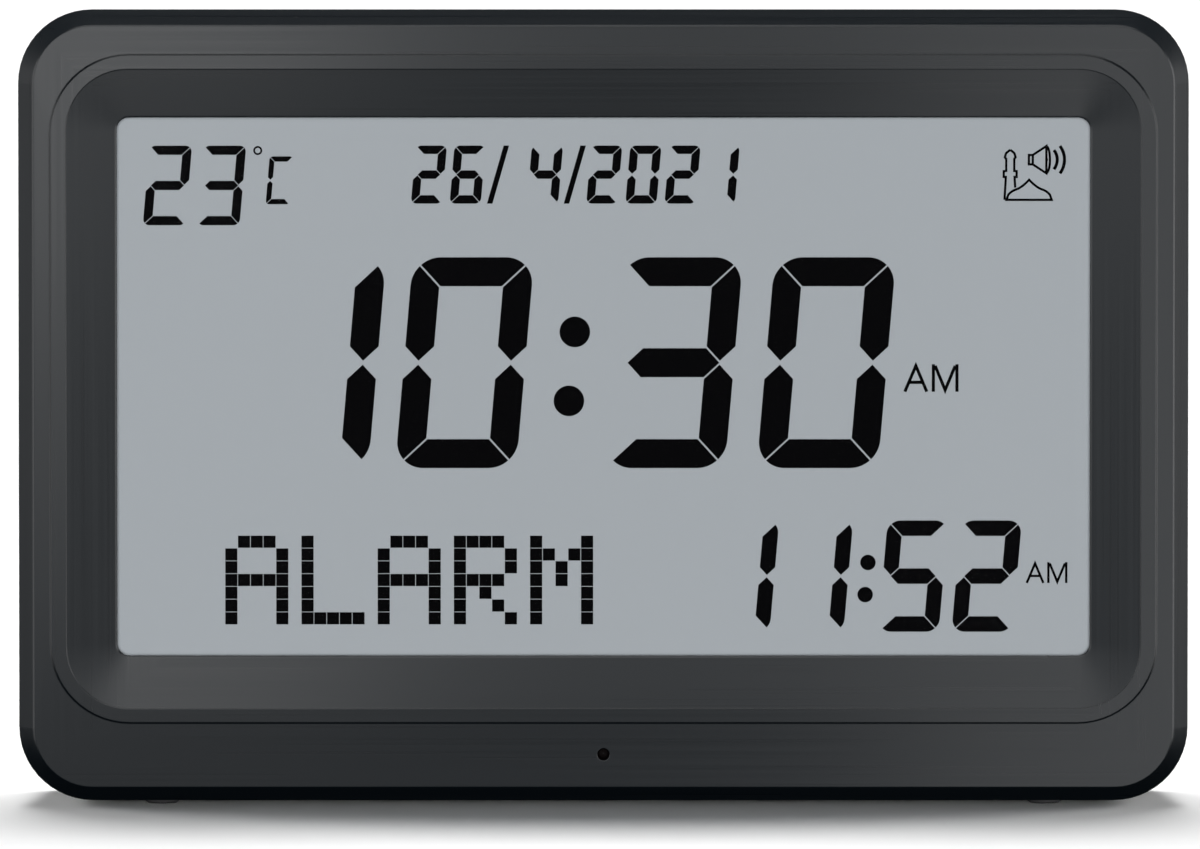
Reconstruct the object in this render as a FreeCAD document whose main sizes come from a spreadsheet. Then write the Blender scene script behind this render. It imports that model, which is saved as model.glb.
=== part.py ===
import FreeCAD, Part
import Sketcher
import math
import os
from FreeCAD import Placement, Rotation, Vector

# A desk and wall prayer-time clock: a landscape case with a wide reflective liquid crystal display
# in a dished bezel, buttons, speaker grille, battery bay, wall keyholes and a fold-out stand behind.
# Lengths are millimetres. The clock stands on its feet at z = 0, faces -Y and is centred on x = 0.
# Inside the case, depth is counted backwards from the frontmost ridge and height from the case's
# underside, and every piece is then shifted by the same amount into the part's own frame.

SIZES = (
    # The case outline and its walls.
    ("case_width", 225.0),
    ("case_height", 152.7),
    ("case_depth", 34.0),
    ("corner_radius", 14.2),
    ("case_wall", 2.2),
    ("inner_edge", 1.2),
    ("bezel_depth", 13.0),
    ("side_draft", 0.8),
    ("joint_reveal", 0.25),
    ("tongue_gap", 0.15),
    ("tongue_bite", 1.0),
    ("tongue_thickness", 1.2),
    ("tongue_length", 2.0),
    ("tongue_root", 3.0),
    ("rear_taper", 2.2),
    ("rear_edge", 4.0),
    ("rear_edge_run", 3.2),
    ("rear_corner_drop", 0.5),
    ("rear_corner_taper", 1.0),
    # The relief of the front face, from the outer bevel in to the window.
    ("bevel_width", 2.7),
    ("bevel_back", 4.9),
    ("edge_break", 0.3),
    ("face_fall", 0.4),
    ("step_height", 0.45),
    ("step_run", 0.35),
    ("step_side", 6.0),
    ("step_top", 8.25),
    ("step_bottom", 15.2),
    ("step_radius", 15.4),
    ("recess_side", 9.2),
    ("recess_top", 11.2),
    ("recess_bottom", 18.2),
    ("recess_radius", 11.9),
    ("dish_depth", 2.8),
    ("lip_thickness", 1.3),
    ("front_thickness", 2.65),
    ("shoulder_drop", 0.5),
    ("window_width", 187.1),
    ("window_height", 103.9),
    ("window_bottom", 28.1),
    ("window_radius", 2.4),
    # The display stack.
    ("gasket_thickness", 0.3),
    ("gasket_width", 3.0),
    ("lens_thickness", 1.0),
    ("lens_margin", 4.0),
    ("lens_gap", 0.3),
    ("film_thickness", 0.2),
    ("film_margin", 1.5),
    ("film_corner", 1.0),
    ("reflector_margin", 1.0),
    ("glass_thickness", 1.1),
    ("contact_ledge", 3.0),
    ("well_gap", 0.25),
    ("well_rib", 1.4),
    ("retainer_thickness", 2.0),
    ("retainer_opening", 20.0),
    ("retainer_overlap", 0.3),
    ("retainer_edge", 4.0),
    ("retainer_corner", 3.0),
    ("strip_width", 2.4),
    ("strip_length", 150.0),
    ("strip_gap", 0.15),
    # The boards and what is on them.
    ("board_thickness", 1.6),
    ("board_width", 160.0),
    ("board_screw_reach", 70.0),
    ("board_screw_offset", 9.2),
    ("board_edge", 3.2),
    ("board_corner", 2.0),
    ("processor_side", 14.0),
    ("processor_height", 1.8),
    ("processor_z", 61.0),
    ("chip_corner", 0.6),
    ("chip_lead_reach", 1.6),
    ("chip_lead_thickness", 0.5),
    ("small_chip_height", 1.5),
    ("crystal_length", 10.4),
    ("crystal_width", 4.4),
    ("crystal_flat", 0.1),
    ("crystal_height", 2.4),
    ("can_radius", 3.15),
    ("can_height", 7.0),
    ("can_crimp", 0.4),
    ("socket_rise", 4.0),
    # Screws.
    ("screw_gap", 0.05),
    ("screw_tip_room", 0.5),
    ("clearance_hole", 0.3),
    ("board_screw_radius", 1.1),
    ("board_head_radius", 2.2),
    ("board_head_height", 1.4),
    ("board_screw_length", 6.0),
    ("boss_wall", 1.5),
    ("boss_gap", 0.2),
    ("case_boss_wall", 1.9),
    ("case_hole_gap", 0.2),
    ("case_screw_radius", 1.4),
    ("case_head_radius", 2.8),
    ("case_head_height", 1.9),
    ("case_screw_length", 11.5),
    ("case_screw_side", 9.1),
    ("case_screw_low", 10.0),
    ("case_screw_high", 13.7),
    ("case_screw_web", 6.0),
    ("well_clearance", 0.6),
    # The light sensor behind the small hole under the display.
    ("sensor_height", 9.25),
    ("sensor_hole_radius", 1.2),
    ("sensor_radius", 1.5),
    ("sensor_tip_gap", 0.4),
    ("sleeve_gap", 0.05),
    ("sensor_seat_radius", 2.7),
    ("sensor_seat_wall", 1.3),
    ("sensor_seat_length", 4.5),
    ("sensor_board_width", 18.0),
    ("sensor_board_height", 9.0),
    ("sensor_board_thickness", 1.0),
    ("stake_radius", 1.0),
    ("stake_reach", 6.5),
    ("stake_shoulder", 0.6),
    ("stake_tip", 0.6),
    ("stake_gap", 0.1),
    # The buttons and the selector in a shallow panel across the back.
    ("key_height", 134.0),
    ("key_spacing", 17.0),
    ("key_first", -51.0),
    ("key_width", 10.0),
    ("key_rise", 5.5),
    ("key_corner", 1.2),
    ("key_corner_drop", 0.3),
    ("key_edge", 0.4),
    ("key_play", 0.1),
    ("key_root", 0.2),
    ("key_stem", 0.6),
    ("key_stem_margin", 0.3),
    ("key_gap", 0.2),
    ("key_proud", 1.0),
    ("key_travel", 0.5),
    ("key_flange", 1.0),
    ("key_flange_depth", 1.1),
    ("panel_depth", 1.4),
    ("panel_margin", 4.0),
    ("panel_wall", 2.2),
    ("panel_rise", 1.8),
    ("panel_rim", 2.2),
    ("panel_corner", 2.0),
    ("selector_x", 54.5),
    ("selector_travel", 3.0),
    ("selector_width", 6.0),
    ("selector_rise", 4.0),
    ("selector_corner", 0.5),
    ("selector_ridge", 0.6),
    ("selector_overlap", 0.5),
    ("selector_stem", 2.0),
    ("selector_stem_depth", 1.2),
    ("selector_end_gap", 0.3),
    ("selector_switch_width", 13.0),
    ("selector_switch_rise", 6.6),
    ("key_board_thickness", 1.2),
    ("key_board_rise", 13.0),
    ("key_board_corner", 1.5),
    ("key_screw_length", 5.0),
    ("switch_side", 6.0),
    ("switch_depth", 3.6),
    ("switch_corner", 0.4),
    ("plunger_radius", 1.7),
    ("plunger_length", 2.6),
    ("plunger_proud", 1.4),
    ("plunger_gap", 0.1),
    ("key_post_radius", 2.1),
    ("key_post_gap", 1.4),
    # The battery bay, its door and three AA cells.
    ("bay_x", 66.0),
    ("bay_z", 61.0),
    ("bay_length", 58.0),
    ("bay_height", 47.6),
    ("bay_wall", 1.6),
    ("bay_corner", 1.0),
    ("bay_inner_corner", 0.8),
    ("cell_radius", 7.1),
    ("cell_length", 50.2),
    ("cell_nub", 1.2),
    ("cell_nub_radius", 2.75),
    ("cell_nub_edge", 0.3),
    ("cell_edge", 0.4),
    ("cell_rim", 1.6),
    ("cell_pitch", 15.2),
    ("cell_gap", 0.3),
    ("contact_thickness", 0.4),
    ("plate_rise", 10.4),
    ("plate_depth", 10.8),
    ("plate_bite", 1.0),
    ("tab_length", 1.2),
    ("tab_half", 1.4),
    ("contact_slot_width", 0.6),
    ("contact_slot_height", 3.2),
    ("spring_wire", 0.35),
    ("spring_gap", 0.15),
    ("door_thickness", 1.7),
    ("door_ledge", 1.5),
    ("door_gap", 0.25),
    ("door_top_gap", 0.5),
    ("door_rest_gap", 0.1),
    ("door_nose", 0.3),
    ("door_pivot_radius", 0.8),
    ("door_pivot_depth", 1.5),
    ("door_pivot_drop", 1.3),
    ("door_pivot_length", 1.6),
    ("door_pivot_gap", 0.1),
    ("lug_end_gap", 0.4),
    ("lug_side", 3.0),
    ("lug_below", 3.0),
    ("lug_above", 4.0),
    ("lug_depth", 4.5),
    ("swing_below", 1.2),
    ("swing_depth", 3.2),
    ("notch_radius", 6.5),
    ("notch_depth", 1.3),
    ("snap_width", 14.0),
    ("snap_length", 9.0),
    ("tongue_slit", 0.7),
    ("grip_width", 10.0),
    ("grip_rib", 0.8),
    ("grip_start", 2.0),
    ("grip_depth", 0.5),
    # The speaker and its grille.
    ("speaker_x", -66.0),
    ("speaker_z", 62.0),
    ("speaker_radius", 25.0),
    ("speaker_rim", 4.0),
    ("speaker_depth", 14.0),
    ("speaker_flange", 1.0),
    ("speaker_post_gap", 0.3),
    ("speaker_screw_cover", 1.2),
    ("speaker_tip_room", 0.4),
    ("speaker_head_reach", 1.0),
    ("basket_skin", 0.8),
    ("basket_neck", 1.0),
    ("magnet_radius", 12.5),
    ("magnet_height", 4.6),
    ("magnet_edge", 0.5),
    ("pole_gap", 0.3),
    ("pole_height", 2.5),
    ("cone_skin", 0.5),
    ("cone_lift", 3.4),
    ("cone_well", 1.6),
    ("cone_roll_edge", 1.2),
    ("cone_ledge", 3.0),
    ("cap_height", 2.2),
    ("roll_inner", 4.6),
    ("roll_inner_crest", 3.4),
    ("roll_outer_crest", 2.3),
    ("roll_outer", 1.4),
    ("roll_drop", 1.4),
    ("roll_crest", 0.4),
    ("roll_outer_drop", 1.2),
    ("speaker_gasket_thickness", 0.7),
    ("grille_hole_radius", 1.1),
    ("grille_pitch", 4.3),
    # The fold-out stand.
    ("leg_width", 50.0),
    ("leg_thickness", 4.0),
    ("leg_length", 86.0),
    ("leg_heel", 3.9),
    ("leg_inset", 0.5),
    ("leg_side_gap", 0.5),
    ("leg_tip_gap", 1.5),
    ("leg_heel_gap", 1.3),
    ("leg_corner", 2.5),
    ("leg_rim", 4.0),
    ("leg_panel_low", 12.0),
    ("leg_panel_high", 8.0),
    ("leg_panel_corner", 3.0),
    ("leg_panel_depth", 1.2),
    ("pad_inset", 8.0),
    ("pad_wall", 0.8),
    ("pad_proud", 0.5),
    ("pad_depth", 1.2),
    ("hinge_height", 90.0),
    ("hinge_barrel", 2.6),
    ("hinge_offset", 0.5),
    ("stand_recess_depth", 6.0),
    ("stand_recess_corner", 2.0),
    ("pin_radius", 1.25),
    ("pin_gap", 0.05),
    ("pin_engagement", 3.5),
    ("pin_seat_gap", 0.02),
    ("pin_end_gap", 0.2),
    ("pin_end_wall", 2.0),
    ("scoop_radius", 9.0),
    ("scoop_height", 17.0),
    # Wall keyholes and the rubber feet.
    ("keyhole_spacing", 120.0),
    ("keyhole_height", 106.0),
    ("keyhole_entry_radius", 4.2),
    ("keyhole_slot_radius", 2.2),
    ("keyhole_slot_length", 7.0),
    ("foot_reach", 85.0),
    ("foot_radius", 3.2),
    ("foot_recess", 0.7),
    ("foot_proud", 0.8),
    ("front_foot_depth", 8.6),
    ("rear_foot_depth", 26.0),
    ("foot_edge", 0.4),
    # The leads and ribbons, and how far cuts reach past the faces that they open.
    ("lead_radius", 0.55),
    ("lead_gap", 0.05),
    ("lead_pitch", 2.0),
    ("lead_drop", 1.0),
    ("lead_start", 2.0),
    ("lead_fall", 8.0),
    ("ribbon_thickness", 0.4),
    ("ribbon_margin", 1.0),
    ("ribbon_loop", 3.0),
    ("sensor_ribbon_rise", 2.0),
    ("sensor_ribbon_loop", 2.5),
    ("overrun", 0.5),
    ("wall_bite", 0.1),
)

BUTTONS = ("mode", "set", "up", "down", "play", "light")
SELECTOR_RIDGES = 3
GRIP_LINES = 4
GRILLE_RINGS = 4
# Each cell's row above the bay's middle, and which way it points: its row, then its direction.
CELL_ROWS = (("upper", 1, 1), ("middle", 0, -1), ("lower", -1, 1))
# Where the main board's parts stand, from its middle line and the case's underside.
SMALL_CHIPS = ((-18, 65, 9, 5), (18, 65, 7, 5), (18, 47, 5, 4))
CRYSTAL = (-16, 49)
CAPACITORS = ((-8, 108), (8, 118))
SOCKETS = {
    "battery": (22, 30, 8, 3.0),
    "speaker": (-30, 30, 8, 3.0),
    "keys": (0, 128, 16, 3.0),
    "sensor": (0, 25.5, 8, 1.2),
}
# How far the battery leads bend sideways and down on their way, and how near they keep.
LEAD_BENDS = (6, 10, 4)
BEND_SHARE = 0.45
# A screw's shape as shares of its radius, its head's radius and its head's height.
TIP_FLAT = 0.35
HEAD_SIDE = 0.45
CROWN_EDGE, CROWN_DROP = 0.72, 0.86
CROWN_FLAT = 0.4
CROSS_FLOOR, CROSS_REACH, CROSS_HALF = 0.4, 0.55, 0.13
# The rows of chip leads, the selector's stem, the speaker's pole and its dust cap, as shares.
LEAD_ROW = 0.8
STEM_SHAPE = 0.8
POLE_SHARE = 0.45
CAP_SHARE, CAP_SHOULDER, CAP_FALL = 0.5, 0.6, 0.73
# The springs: tip radius as a share of the cell's, turns, and taper in degrees.
SPRING_TIP, SPRING_TURNS, SPRING_TAPER = 0.5, 3.5, 12
EDGE_STEPS = tuple(math.radians(angle) for angle in (30, 60, 90))
DOME_STEPS = tuple(math.radians(angle) for angle in (0, 30, 60, 90))

doc = FreeCAD.newDocument("prayer_clock")
sheet = doc.addObject("Spreadsheet::Sheet", "Sizes")
finished = []


class Dim:
    """A length: the number it has now, and the expression that follows the sheet."""

    def __init__(self, value, text):
        self.value = float(value)
        self.text = text

    def __add__(self, other):
        return joined(self, "+", other, self.value + number(other))

    def __radd__(self, other):
        return joined(other, "+", self, number(other) + self.value)

    def __sub__(self, other):
        return joined(self, "-", other, self.value - number(other))

    def __rsub__(self, other):
        return joined(other, "-", self, number(other) - self.value)

    def __mul__(self, other):
        return joined(self, "*", other, self.value * number(other))

    def __rmul__(self, other):
        return joined(other, "*", self, number(other) * self.value)

    def __truediv__(self, other):
        return joined(self, "/", other, self.value / number(other))

    def __neg__(self):
        return joined(0, "-", self, -self.value)


def number(length):
    return length.value if isinstance(length, Dim) else float(length)


def written(length):
    return length.text if isinstance(length, Dim) else f"({float(length)})"


def joined(left, sign, right, value):
    return Dim(value, f"({written(left)} {sign} {written(right)})")


def fill_sheet():
    """Writes each driving size into a cell with an alias, and returns them by name."""
    named = {}
    for row, (alias, value) in enumerate(SIZES, start=1):
        sheet.set(f"A{row}", alias.replace("_", " "))
        sheet.set(f"B{row}", str(value))
        sheet.setAlias(f"B{row}", alias)
        named[alias] = Dim(value, f"Sizes.{alias}")
    doc.recompute()
    return named


class Named:
    """The driving sizes as attributes."""

    def __init__(self, named):
        self.__dict__.update(named)


s = Named(fill_sheet())

# Depths from the frontmost ridge.
face_edge = s.step_height + s.face_fall
bevel_front = face_edge + s.edge_break
cavity_floor = s.step_height + s.front_thickness
lip_back = s.dish_depth + s.lip_thickness
lens_front = lip_back + s.gasket_thickness
lens_back = lens_front + s.lens_thickness
film_front = lens_back + s.lens_gap
front_glass = film_front + s.film_thickness
rear_glass = front_glass + s.glass_thickness
reflector_front = rear_glass + s.glass_thickness
lcd_back = reflector_front + s.film_thickness
board_front = lcd_back + s.retainer_thickness
board_back = board_front + s.board_thickness
rear_inner = s.case_depth - s.case_wall
rear_edge_start = s.case_depth - s.rear_edge
root_depth = rear_inner + s.wall_bite
beyond = s.case_depth + s.overrun
sensor_seat_back = cavity_floor + s.sensor_seat_length
sensor_board_back = sensor_seat_back + s.sensor_board_thickness

# Half widths and heights.
half_width = s.case_width / 2
window_top = s.window_bottom + s.window_height
lens_reach = s.window_width / 2 + s.lens_margin
joint_inset = s.side_draft + s.joint_reveal
rear_inset = joint_inset + s.rear_taper
case_screw_reach = half_width - s.case_screw_side
case_screw_heights = (s.case_screw_low, s.case_height - s.case_screw_high)
board_screw_heights = (s.window_bottom - s.board_screw_offset, window_top + s.board_screw_offset)
board_screw_spots = [
    (x, z) for z in board_screw_heights for x in (-s.board_screw_reach, 0, s.board_screw_reach)
]

# The key panel.
panel_floor = s.case_depth - s.panel_depth
panel_inner = panel_floor - s.panel_wall
panel_half = s.key_rise / 2 + s.panel_rise
key_spots = [s.key_first + s.key_spacing * i for i in range(len(BUTTONS))]
key_flange_back = panel_inner - s.key_play
key_flange_front = key_flange_back - s.key_flange_depth
plunger_back = key_flange_front - s.key_stem
switch_back = plunger_back - s.plunger_proud
switch_front = switch_back - s.switch_depth
key_board_front = switch_front - s.key_board_thickness
key_screw_tip = key_board_front + s.key_screw_length
panel_left = s.key_first - s.key_width / 2 - s.panel_margin
panel_right = s.selector_x + s.selector_travel + s.selector_width / 2 + s.panel_margin
key_post_spots = (
    (key_spots[0] + key_spots[1]) / 2,
    (key_spots[3] + key_spots[4]) / 2,
    key_spots[-1] + s.key_width / 2 + s.key_flange + s.key_post_radius + s.key_post_gap,
)

# The battery bay.
bay_left = s.bay_x - s.bay_length / 2
bay_right = s.bay_x + s.bay_length / 2
bay_low = s.bay_z - s.bay_height / 2
bay_high = s.bay_z + s.bay_height / 2
door_under = s.case_depth - s.door_thickness
cell_depth = door_under - s.cell_gap - s.cell_radius
bay_floor = cell_depth - s.cell_radius - s.cell_gap
bay_front = bay_floor - s.bay_wall
tab_front = bay_front - s.tab_length
door_low = bay_low - s.door_ledge + s.door_gap
door_high = bay_high + s.door_ledge - s.door_gap
door_left = bay_left - s.door_ledge + s.door_gap
door_right = bay_right + s.door_ledge - s.door_gap
door_pivot_y = s.case_depth - s.door_pivot_depth
door_pivot_z = door_high - s.door_pivot_drop
door_recess_high = door_high + s.door_top_gap
cell_shift = s.bay_length / 2 - s.contact_thickness - s.cell_length / 2

# The stand.
recess_floor = s.case_depth - s.stand_recess_depth
leg_back = s.case_depth - s.leg_inset
leg_front = leg_back - s.leg_thickness
hinge_depth = (leg_back + leg_front) / 2 - s.hinge_offset
leg_low = s.hinge_height - s.leg_length
leg_high = s.hinge_height + s.leg_heel
recess_half = s.leg_width / 2 + s.leg_side_gap
recess_low = leg_low - s.leg_tip_gap
recess_high = leg_high + s.leg_heel_gap
pin_half = recess_half + s.pin_engagement

# The speaker.
speaker_back = rear_inner - s.speaker_gasket_thickness
speaker_flange_front = speaker_back - s.speaker_flange
speaker_screw_tip = s.case_depth - s.speaker_screw_cover
speaker_front = speaker_back - s.speaker_depth


class Rounded:
    """A rectangle with four equal round corners."""

    def __init__(self, left, right, low, high, radius):
        self.left, self.right, self.low, self.high = left, right, low, high
        self.radius = radius

    def draw(self, sketch):
        left, right, low, high, radius = map(
            number, (self.left, self.right, self.low, self.high, self.radius)
        )
        first = sketch.GeometryCount
        corners = (
            (right - radius, low + radius, -90),
            (right - radius, high - radius, 0),
            (left + radius, high - radius, 90),
            (left + radius, low + radius, 180),
        )
        sides = (
            (left + radius, low, right - radius, low),
            (right, low + radius, right, high - radius),
            (right - radius, high, left + radius, high),
            (left, high - radius, left, low + radius),
        )
        for (x0, y0, x1, y1), (cx, cy, angle) in zip(sides, corners):
            sketch.addGeometry(Part.LineSegment(Vector(x0, y0, 0), Vector(x1, y1, 0)), False)
            circle = Part.Circle(Vector(cx, cy, 0), Vector(0, 0, 1), radius)
            start, end = math.radians(angle), math.radians(angle + 90)
            sketch.addGeometry(Part.ArcOfCircle(circle, start, end), False)
        for side in range(8):
            after = first + (side + 1) % 8
            sketch.addConstraint(Sketcher.Constraint("Tangent", first + side, 2, after, 1))
        for side, kind in ((0, "Horizontal"), (4, "Horizontal"), (2, "Vertical"), (6, "Vertical")):
            sketch.addConstraint(Sketcher.Constraint(kind, first + side))
        for arc in (3, 5, 7):
            sketch.addConstraint(Sketcher.Constraint("Equal", first + 1, first + arc))
        fix(sketch, "DistanceX", first + 6, 1, self.left)
        fix(sketch, "DistanceX", first + 2, 1, self.right)
        fix(sketch, "DistanceY", first, 1, self.low)
        fix(sketch, "DistanceY", first + 4, 1, self.high)
        fix_radius(sketch, first + 1, self.radius)


class Disc:
    """A circle about a point."""

    def __init__(self, across, up, radius):
        self.across, self.up, self.radius = across, up, radius

    def draw(self, sketch):
        centre = Vector(number(self.across), number(self.up), 0)
        geo = sketch.GeometryCount
        sketch.addGeometry(Part.Circle(centre, Vector(0, 0, 1), number(self.radius)), False)
        fix(sketch, "DistanceX", geo, 3, self.across)
        fix(sketch, "DistanceY", geo, 3, self.up)
        fix_radius(sketch, geo, self.radius)


class Loop:
    """A closed polygon through its points."""

    def __init__(self, *points):
        self.points = points

    def draw(self, sketch):
        count = len(self.points)
        first = sketch.GeometryCount
        ends = [Vector(number(x), number(y), 0) for x, y in self.points]
        for i in range(count):
            sketch.addGeometry(Part.LineSegment(ends[i], ends[(i + 1) % count]), False)
        for i in range(count):
            after = first + (i + 1) % count
            sketch.addConstraint(Sketcher.Constraint("Coincident", first + i, 2, after, 1))
        for i, (x, y) in enumerate(self.points):
            fix(sketch, "DistanceX", first + i, 1, x)
            fix(sketch, "DistanceY", first + i, 1, y)


def box(left, right, low, high):
    return Loop((left, low), (right, low), (right, high), (left, high))


def fix(sketch, kind, geo, point, length):
    """Holds a point at a distance from the sketch's origin, tied to the sheet."""
    made = sketch.addConstraint(Sketcher.Constraint(kind, -1, 1, geo, point, number(length)))
    sketch.setExpression(f"Constraints[{made}]", written(length))


def fix_radius(sketch, geo, radius):
    made = sketch.addConstraint(Sketcher.Constraint("Radius", geo, number(radius)))
    sketch.setExpression(f"Constraints[{made}]", written(radius))


def put(piece, x=0, depth=0, height=0, turn=None):
    """Sets a piece's place from case coordinates, tied to the sheet."""
    base = Vector(number(x), number(depth - s.case_depth / 2), number(height + s.foot_proud))
    piece.Placement = Placement(base, turn or Rotation())
    piece.setExpression("Placement.Base.x", written(x))
    piece.setExpression("Placement.Base.y", written(depth - s.case_depth / 2))
    piece.setExpression("Placement.Base.z", written(height + s.foot_proud))


class Piece:
    """One moulded, cut or turned piece, as a body of sketched features."""

    def __init__(self, label, x=0, depth=0, height=0, turn=None, alone=True):
        self.body = doc.addObject("PartDesign::Body", label)
        self.body.Label = label
        put(self.body, x, depth, height, turn)
        if alone:
            finished.append(self.body)

    def sketch(self, plane, level, outlines):
        """A sketch on one of the body's own planes, at a level along the case's axis."""
        made = self.body.newObject("Sketcher::SketchObject", f"{self.body.Label}_outline")
        role = f"{plane}_Plane"
        support = [o for o in self.body.Origin.OriginFeatures if o.Role == role][0]
        made.AttachmentSupport = (support, [""])
        made.MapMode = "FlatFace"
        offset = -level if plane == "XZ" else level
        made.AttachmentOffset = Placement(Vector(0, 0, number(offset)), Rotation())
        made.setExpression("AttachmentOffset.Base.z", written(offset))
        for outline in outlines:
            outline.draw(made)
        return made

    def pad(self, low, high, *outlines, plane="XZ"):
        """Adds material from the low level to the high one."""
        made = self.body.newObject("PartDesign::Pad", f"{self.body.Label}_pad")
        made.Profile = self.sketch(plane, dim(low), outlines)
        made.Reversed = plane == "XZ"
        return self.stretch(made, low, high)

    def cut(self, low, high, *outlines, plane="XZ"):
        """Removes material from the low level to the high one."""
        made = self.body.newObject("PartDesign::Pocket", f"{self.body.Label}_pocket")
        made.Profile = self.sketch(plane, dim(low), outlines)
        made.Reversed = plane != "XZ"
        return self.stretch(made, low, high)

    def bore(self, low, high, *outlines, plane="XZ"):
        """Cuts right through, from a little before the low level to a little past the high one."""
        return self.cut(low - s.overrun, high + s.overrun, *outlines, plane=plane)

    def stretch(self, made, low, high):
        made.Length = number(high) - number(low)
        made.setExpression("Length", written(dim(high) - low))
        return self.keep(made)

    def keep(self, made):
        made.Refine = False
        self.body.Tip = made
        return made

    def loft(self, *sections, remove=False, plane="XZ"):
        """A ruled stack through outlines, each at its own level."""
        kind = "PartDesign::SubtractiveLoft" if remove else "PartDesign::AdditiveLoft"
        made = self.body.newObject(kind, f"{self.body.Label}_loft")
        drawn = [self.sketch(plane, dim(level), [outline]) for level, outline in sections]
        made.Profile = drawn[0]
        made.Sections = drawn[1:]
        made.Ruled = True
        return self.keep(made)

    def turned(self, *points):
        """Turns a profile of (radius, depth) points about the piece's own Y axis."""
        made = self.body.newObject("PartDesign::Revolution", f"{self.body.Label}_turned")
        profile = self.sketch("XY", dim(0), [Loop(*points)])
        made.Profile = profile
        made.ReferenceAxis = (profile, ["V_Axis"])
        made.Angle = 360
        return self.keep(made)


def dim(length):
    return length if isinstance(length, Dim) else Dim(length, written(length))


def join(label, shapes):
    """Several shapes that share one node, as separate solids."""
    made = doc.addObject("Part::Compound", label)
    made.Label = label
    made.Links = shapes
    finished.append(made)


def group(label, pieces):
    join(label, [piece.body for piece in pieces])


def both(length):
    return (-length, length)


def case_outline(side, top, bottom, radius):
    return Rounded(side - half_width, half_width - side, dim(bottom), s.case_height - top, radius)


def window_outline(grow, radius):
    reach = s.window_width / 2 + grow
    return Rounded(-reach, reach, s.window_bottom - grow, window_top + grow, radius)


def bay_outline(grow, radius):
    return Rounded(bay_left - grow, bay_right + grow, bay_low - grow, bay_high + grow, radius)


def even_outline(inset):
    return case_outline(inset, inset, inset, s.corner_radius - inset)


def step_outline(run):
    return case_outline(
        s.step_side + run, s.step_top + run, s.step_bottom + run, s.step_radius - run
    )


def rear_outline(more, radius):
    return case_outline(joint_inset + more, joint_inset + more, dim(0), radius)


def foot_discs(depth):
    return [Disc(x, depth, s.foot_radius) for x in both(s.foot_reach)]


def corner_discs(radius):
    return [Disc(x, z, radius) for x in both(case_screw_reach) for z in case_screw_heights]


def board_screw_discs(radius):
    return [Disc(x, z, radius) for x, z in board_screw_spots]


def front_bezel():
    """The front shell: outer bevel, stepped frame, dished recess and window."""
    bezel = Piece("front_bezel")
    draft = s.side_draft
    bezel.loft(
        (s.bezel_depth, case_outline(draft, draft, 0, s.corner_radius)),
        (s.bevel_back, case_outline(0, 0, 0, s.corner_radius)),
        (bevel_front, even_outline(s.bevel_width)),
        (face_edge, even_outline(s.bevel_width + s.edge_break)),
        (s.step_height, step_outline(dim(0))),
        (dim(0), step_outline(s.step_run)),
    )
    wall = s.case_wall
    inner = case_outline(draft + wall, draft + wall, wall, s.corner_radius - wall)
    shoulder = s.bevel_width + s.front_thickness
    bezel.loft(
        (s.bezel_depth + s.overrun, inner),
        (s.bevel_back + s.shoulder_drop, inner),
        (cavity_floor, case_outline(shoulder, shoulder, shoulder, s.corner_radius - shoulder)),
        remove=True,
    )
    well = s.lens_margin + s.well_gap
    rooted = cavity_floor - s.overrun
    bezel.pad(rooted, lcd_back, window_outline(well + s.well_rib, s.window_radius + s.well_rib))
    bezel.cut(lip_back, lcd_back + s.overrun, window_outline(well, s.well_gap * 2))
    cut_dish(bezel)
    add_bezel_bosses(bezel, rooted)
    add_sensor_seat(bezel, rooted)
    bezel.cut(-s.overrun, s.foot_recess, *foot_discs(s.front_foot_depth), plane="XY")


def cut_dish(bezel):
    """The slope from the recess line down to the window, and the window through its lip."""
    recess = case_outline(s.recess_side, s.recess_top, s.recess_bottom, s.recess_radius)
    edge = s.edge_break
    bezel.loft(
        (-s.overrun, recess),
        (edge, recess),
        (s.dish_depth - edge, window_outline(edge, s.window_radius + edge)),
        (s.dish_depth, window_outline(dim(0), s.window_radius)),
        (lip_back + s.overrun, window_outline(dim(0), s.window_radius)),
        remove=True,
    )


def add_bezel_bosses(bezel, rooted):
    """Posts for the four case screws and the six screws that hold the display and its board."""
    bore = s.case_screw_radius + s.screw_gap
    tall = s.bezel_depth - s.boss_gap
    bezel.pad(rooted, tall, *corner_discs(bore + s.case_boss_wall))
    deep = s.bezel_depth + s.case_screw_web - s.case_screw_length - s.screw_tip_room
    bezel.cut(deep, tall + s.overrun, *corner_discs(bore))
    thin = s.board_screw_radius + s.screw_gap
    bezel.pad(rooted, lcd_back, *board_screw_discs(thin + s.boss_wall))
    shallow = board_back - s.board_screw_length - s.screw_tip_room
    bezel.cut(shallow, lcd_back + s.overrun, *board_screw_discs(thin))


def add_sensor_seat(bezel, rooted):
    """The small round hole, the ring behind it and two stakes for the sensor's board."""
    height = s.sensor_height
    bezel.pad(rooted, sensor_seat_back, Disc(0, height, s.sensor_seat_radius + s.sensor_seat_wall))
    seat = Disc(0, height, s.sensor_seat_radius)
    bezel.cut(cavity_floor, sensor_seat_back + s.overrun, seat)
    bezel.bore(dim(0), cavity_floor, Disc(0, height, s.sensor_hole_radius))
    stakes = [Disc(x, height, s.stake_radius + s.stake_shoulder) for x in both(s.stake_reach)]
    bezel.pad(rooted, sensor_seat_back, *stakes)
    tips = [Disc(x, height, s.stake_radius) for x in both(s.stake_reach)]
    bezel.pad(sensor_seat_back - s.overrun, sensor_board_back + s.stake_tip, *tips)


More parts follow.
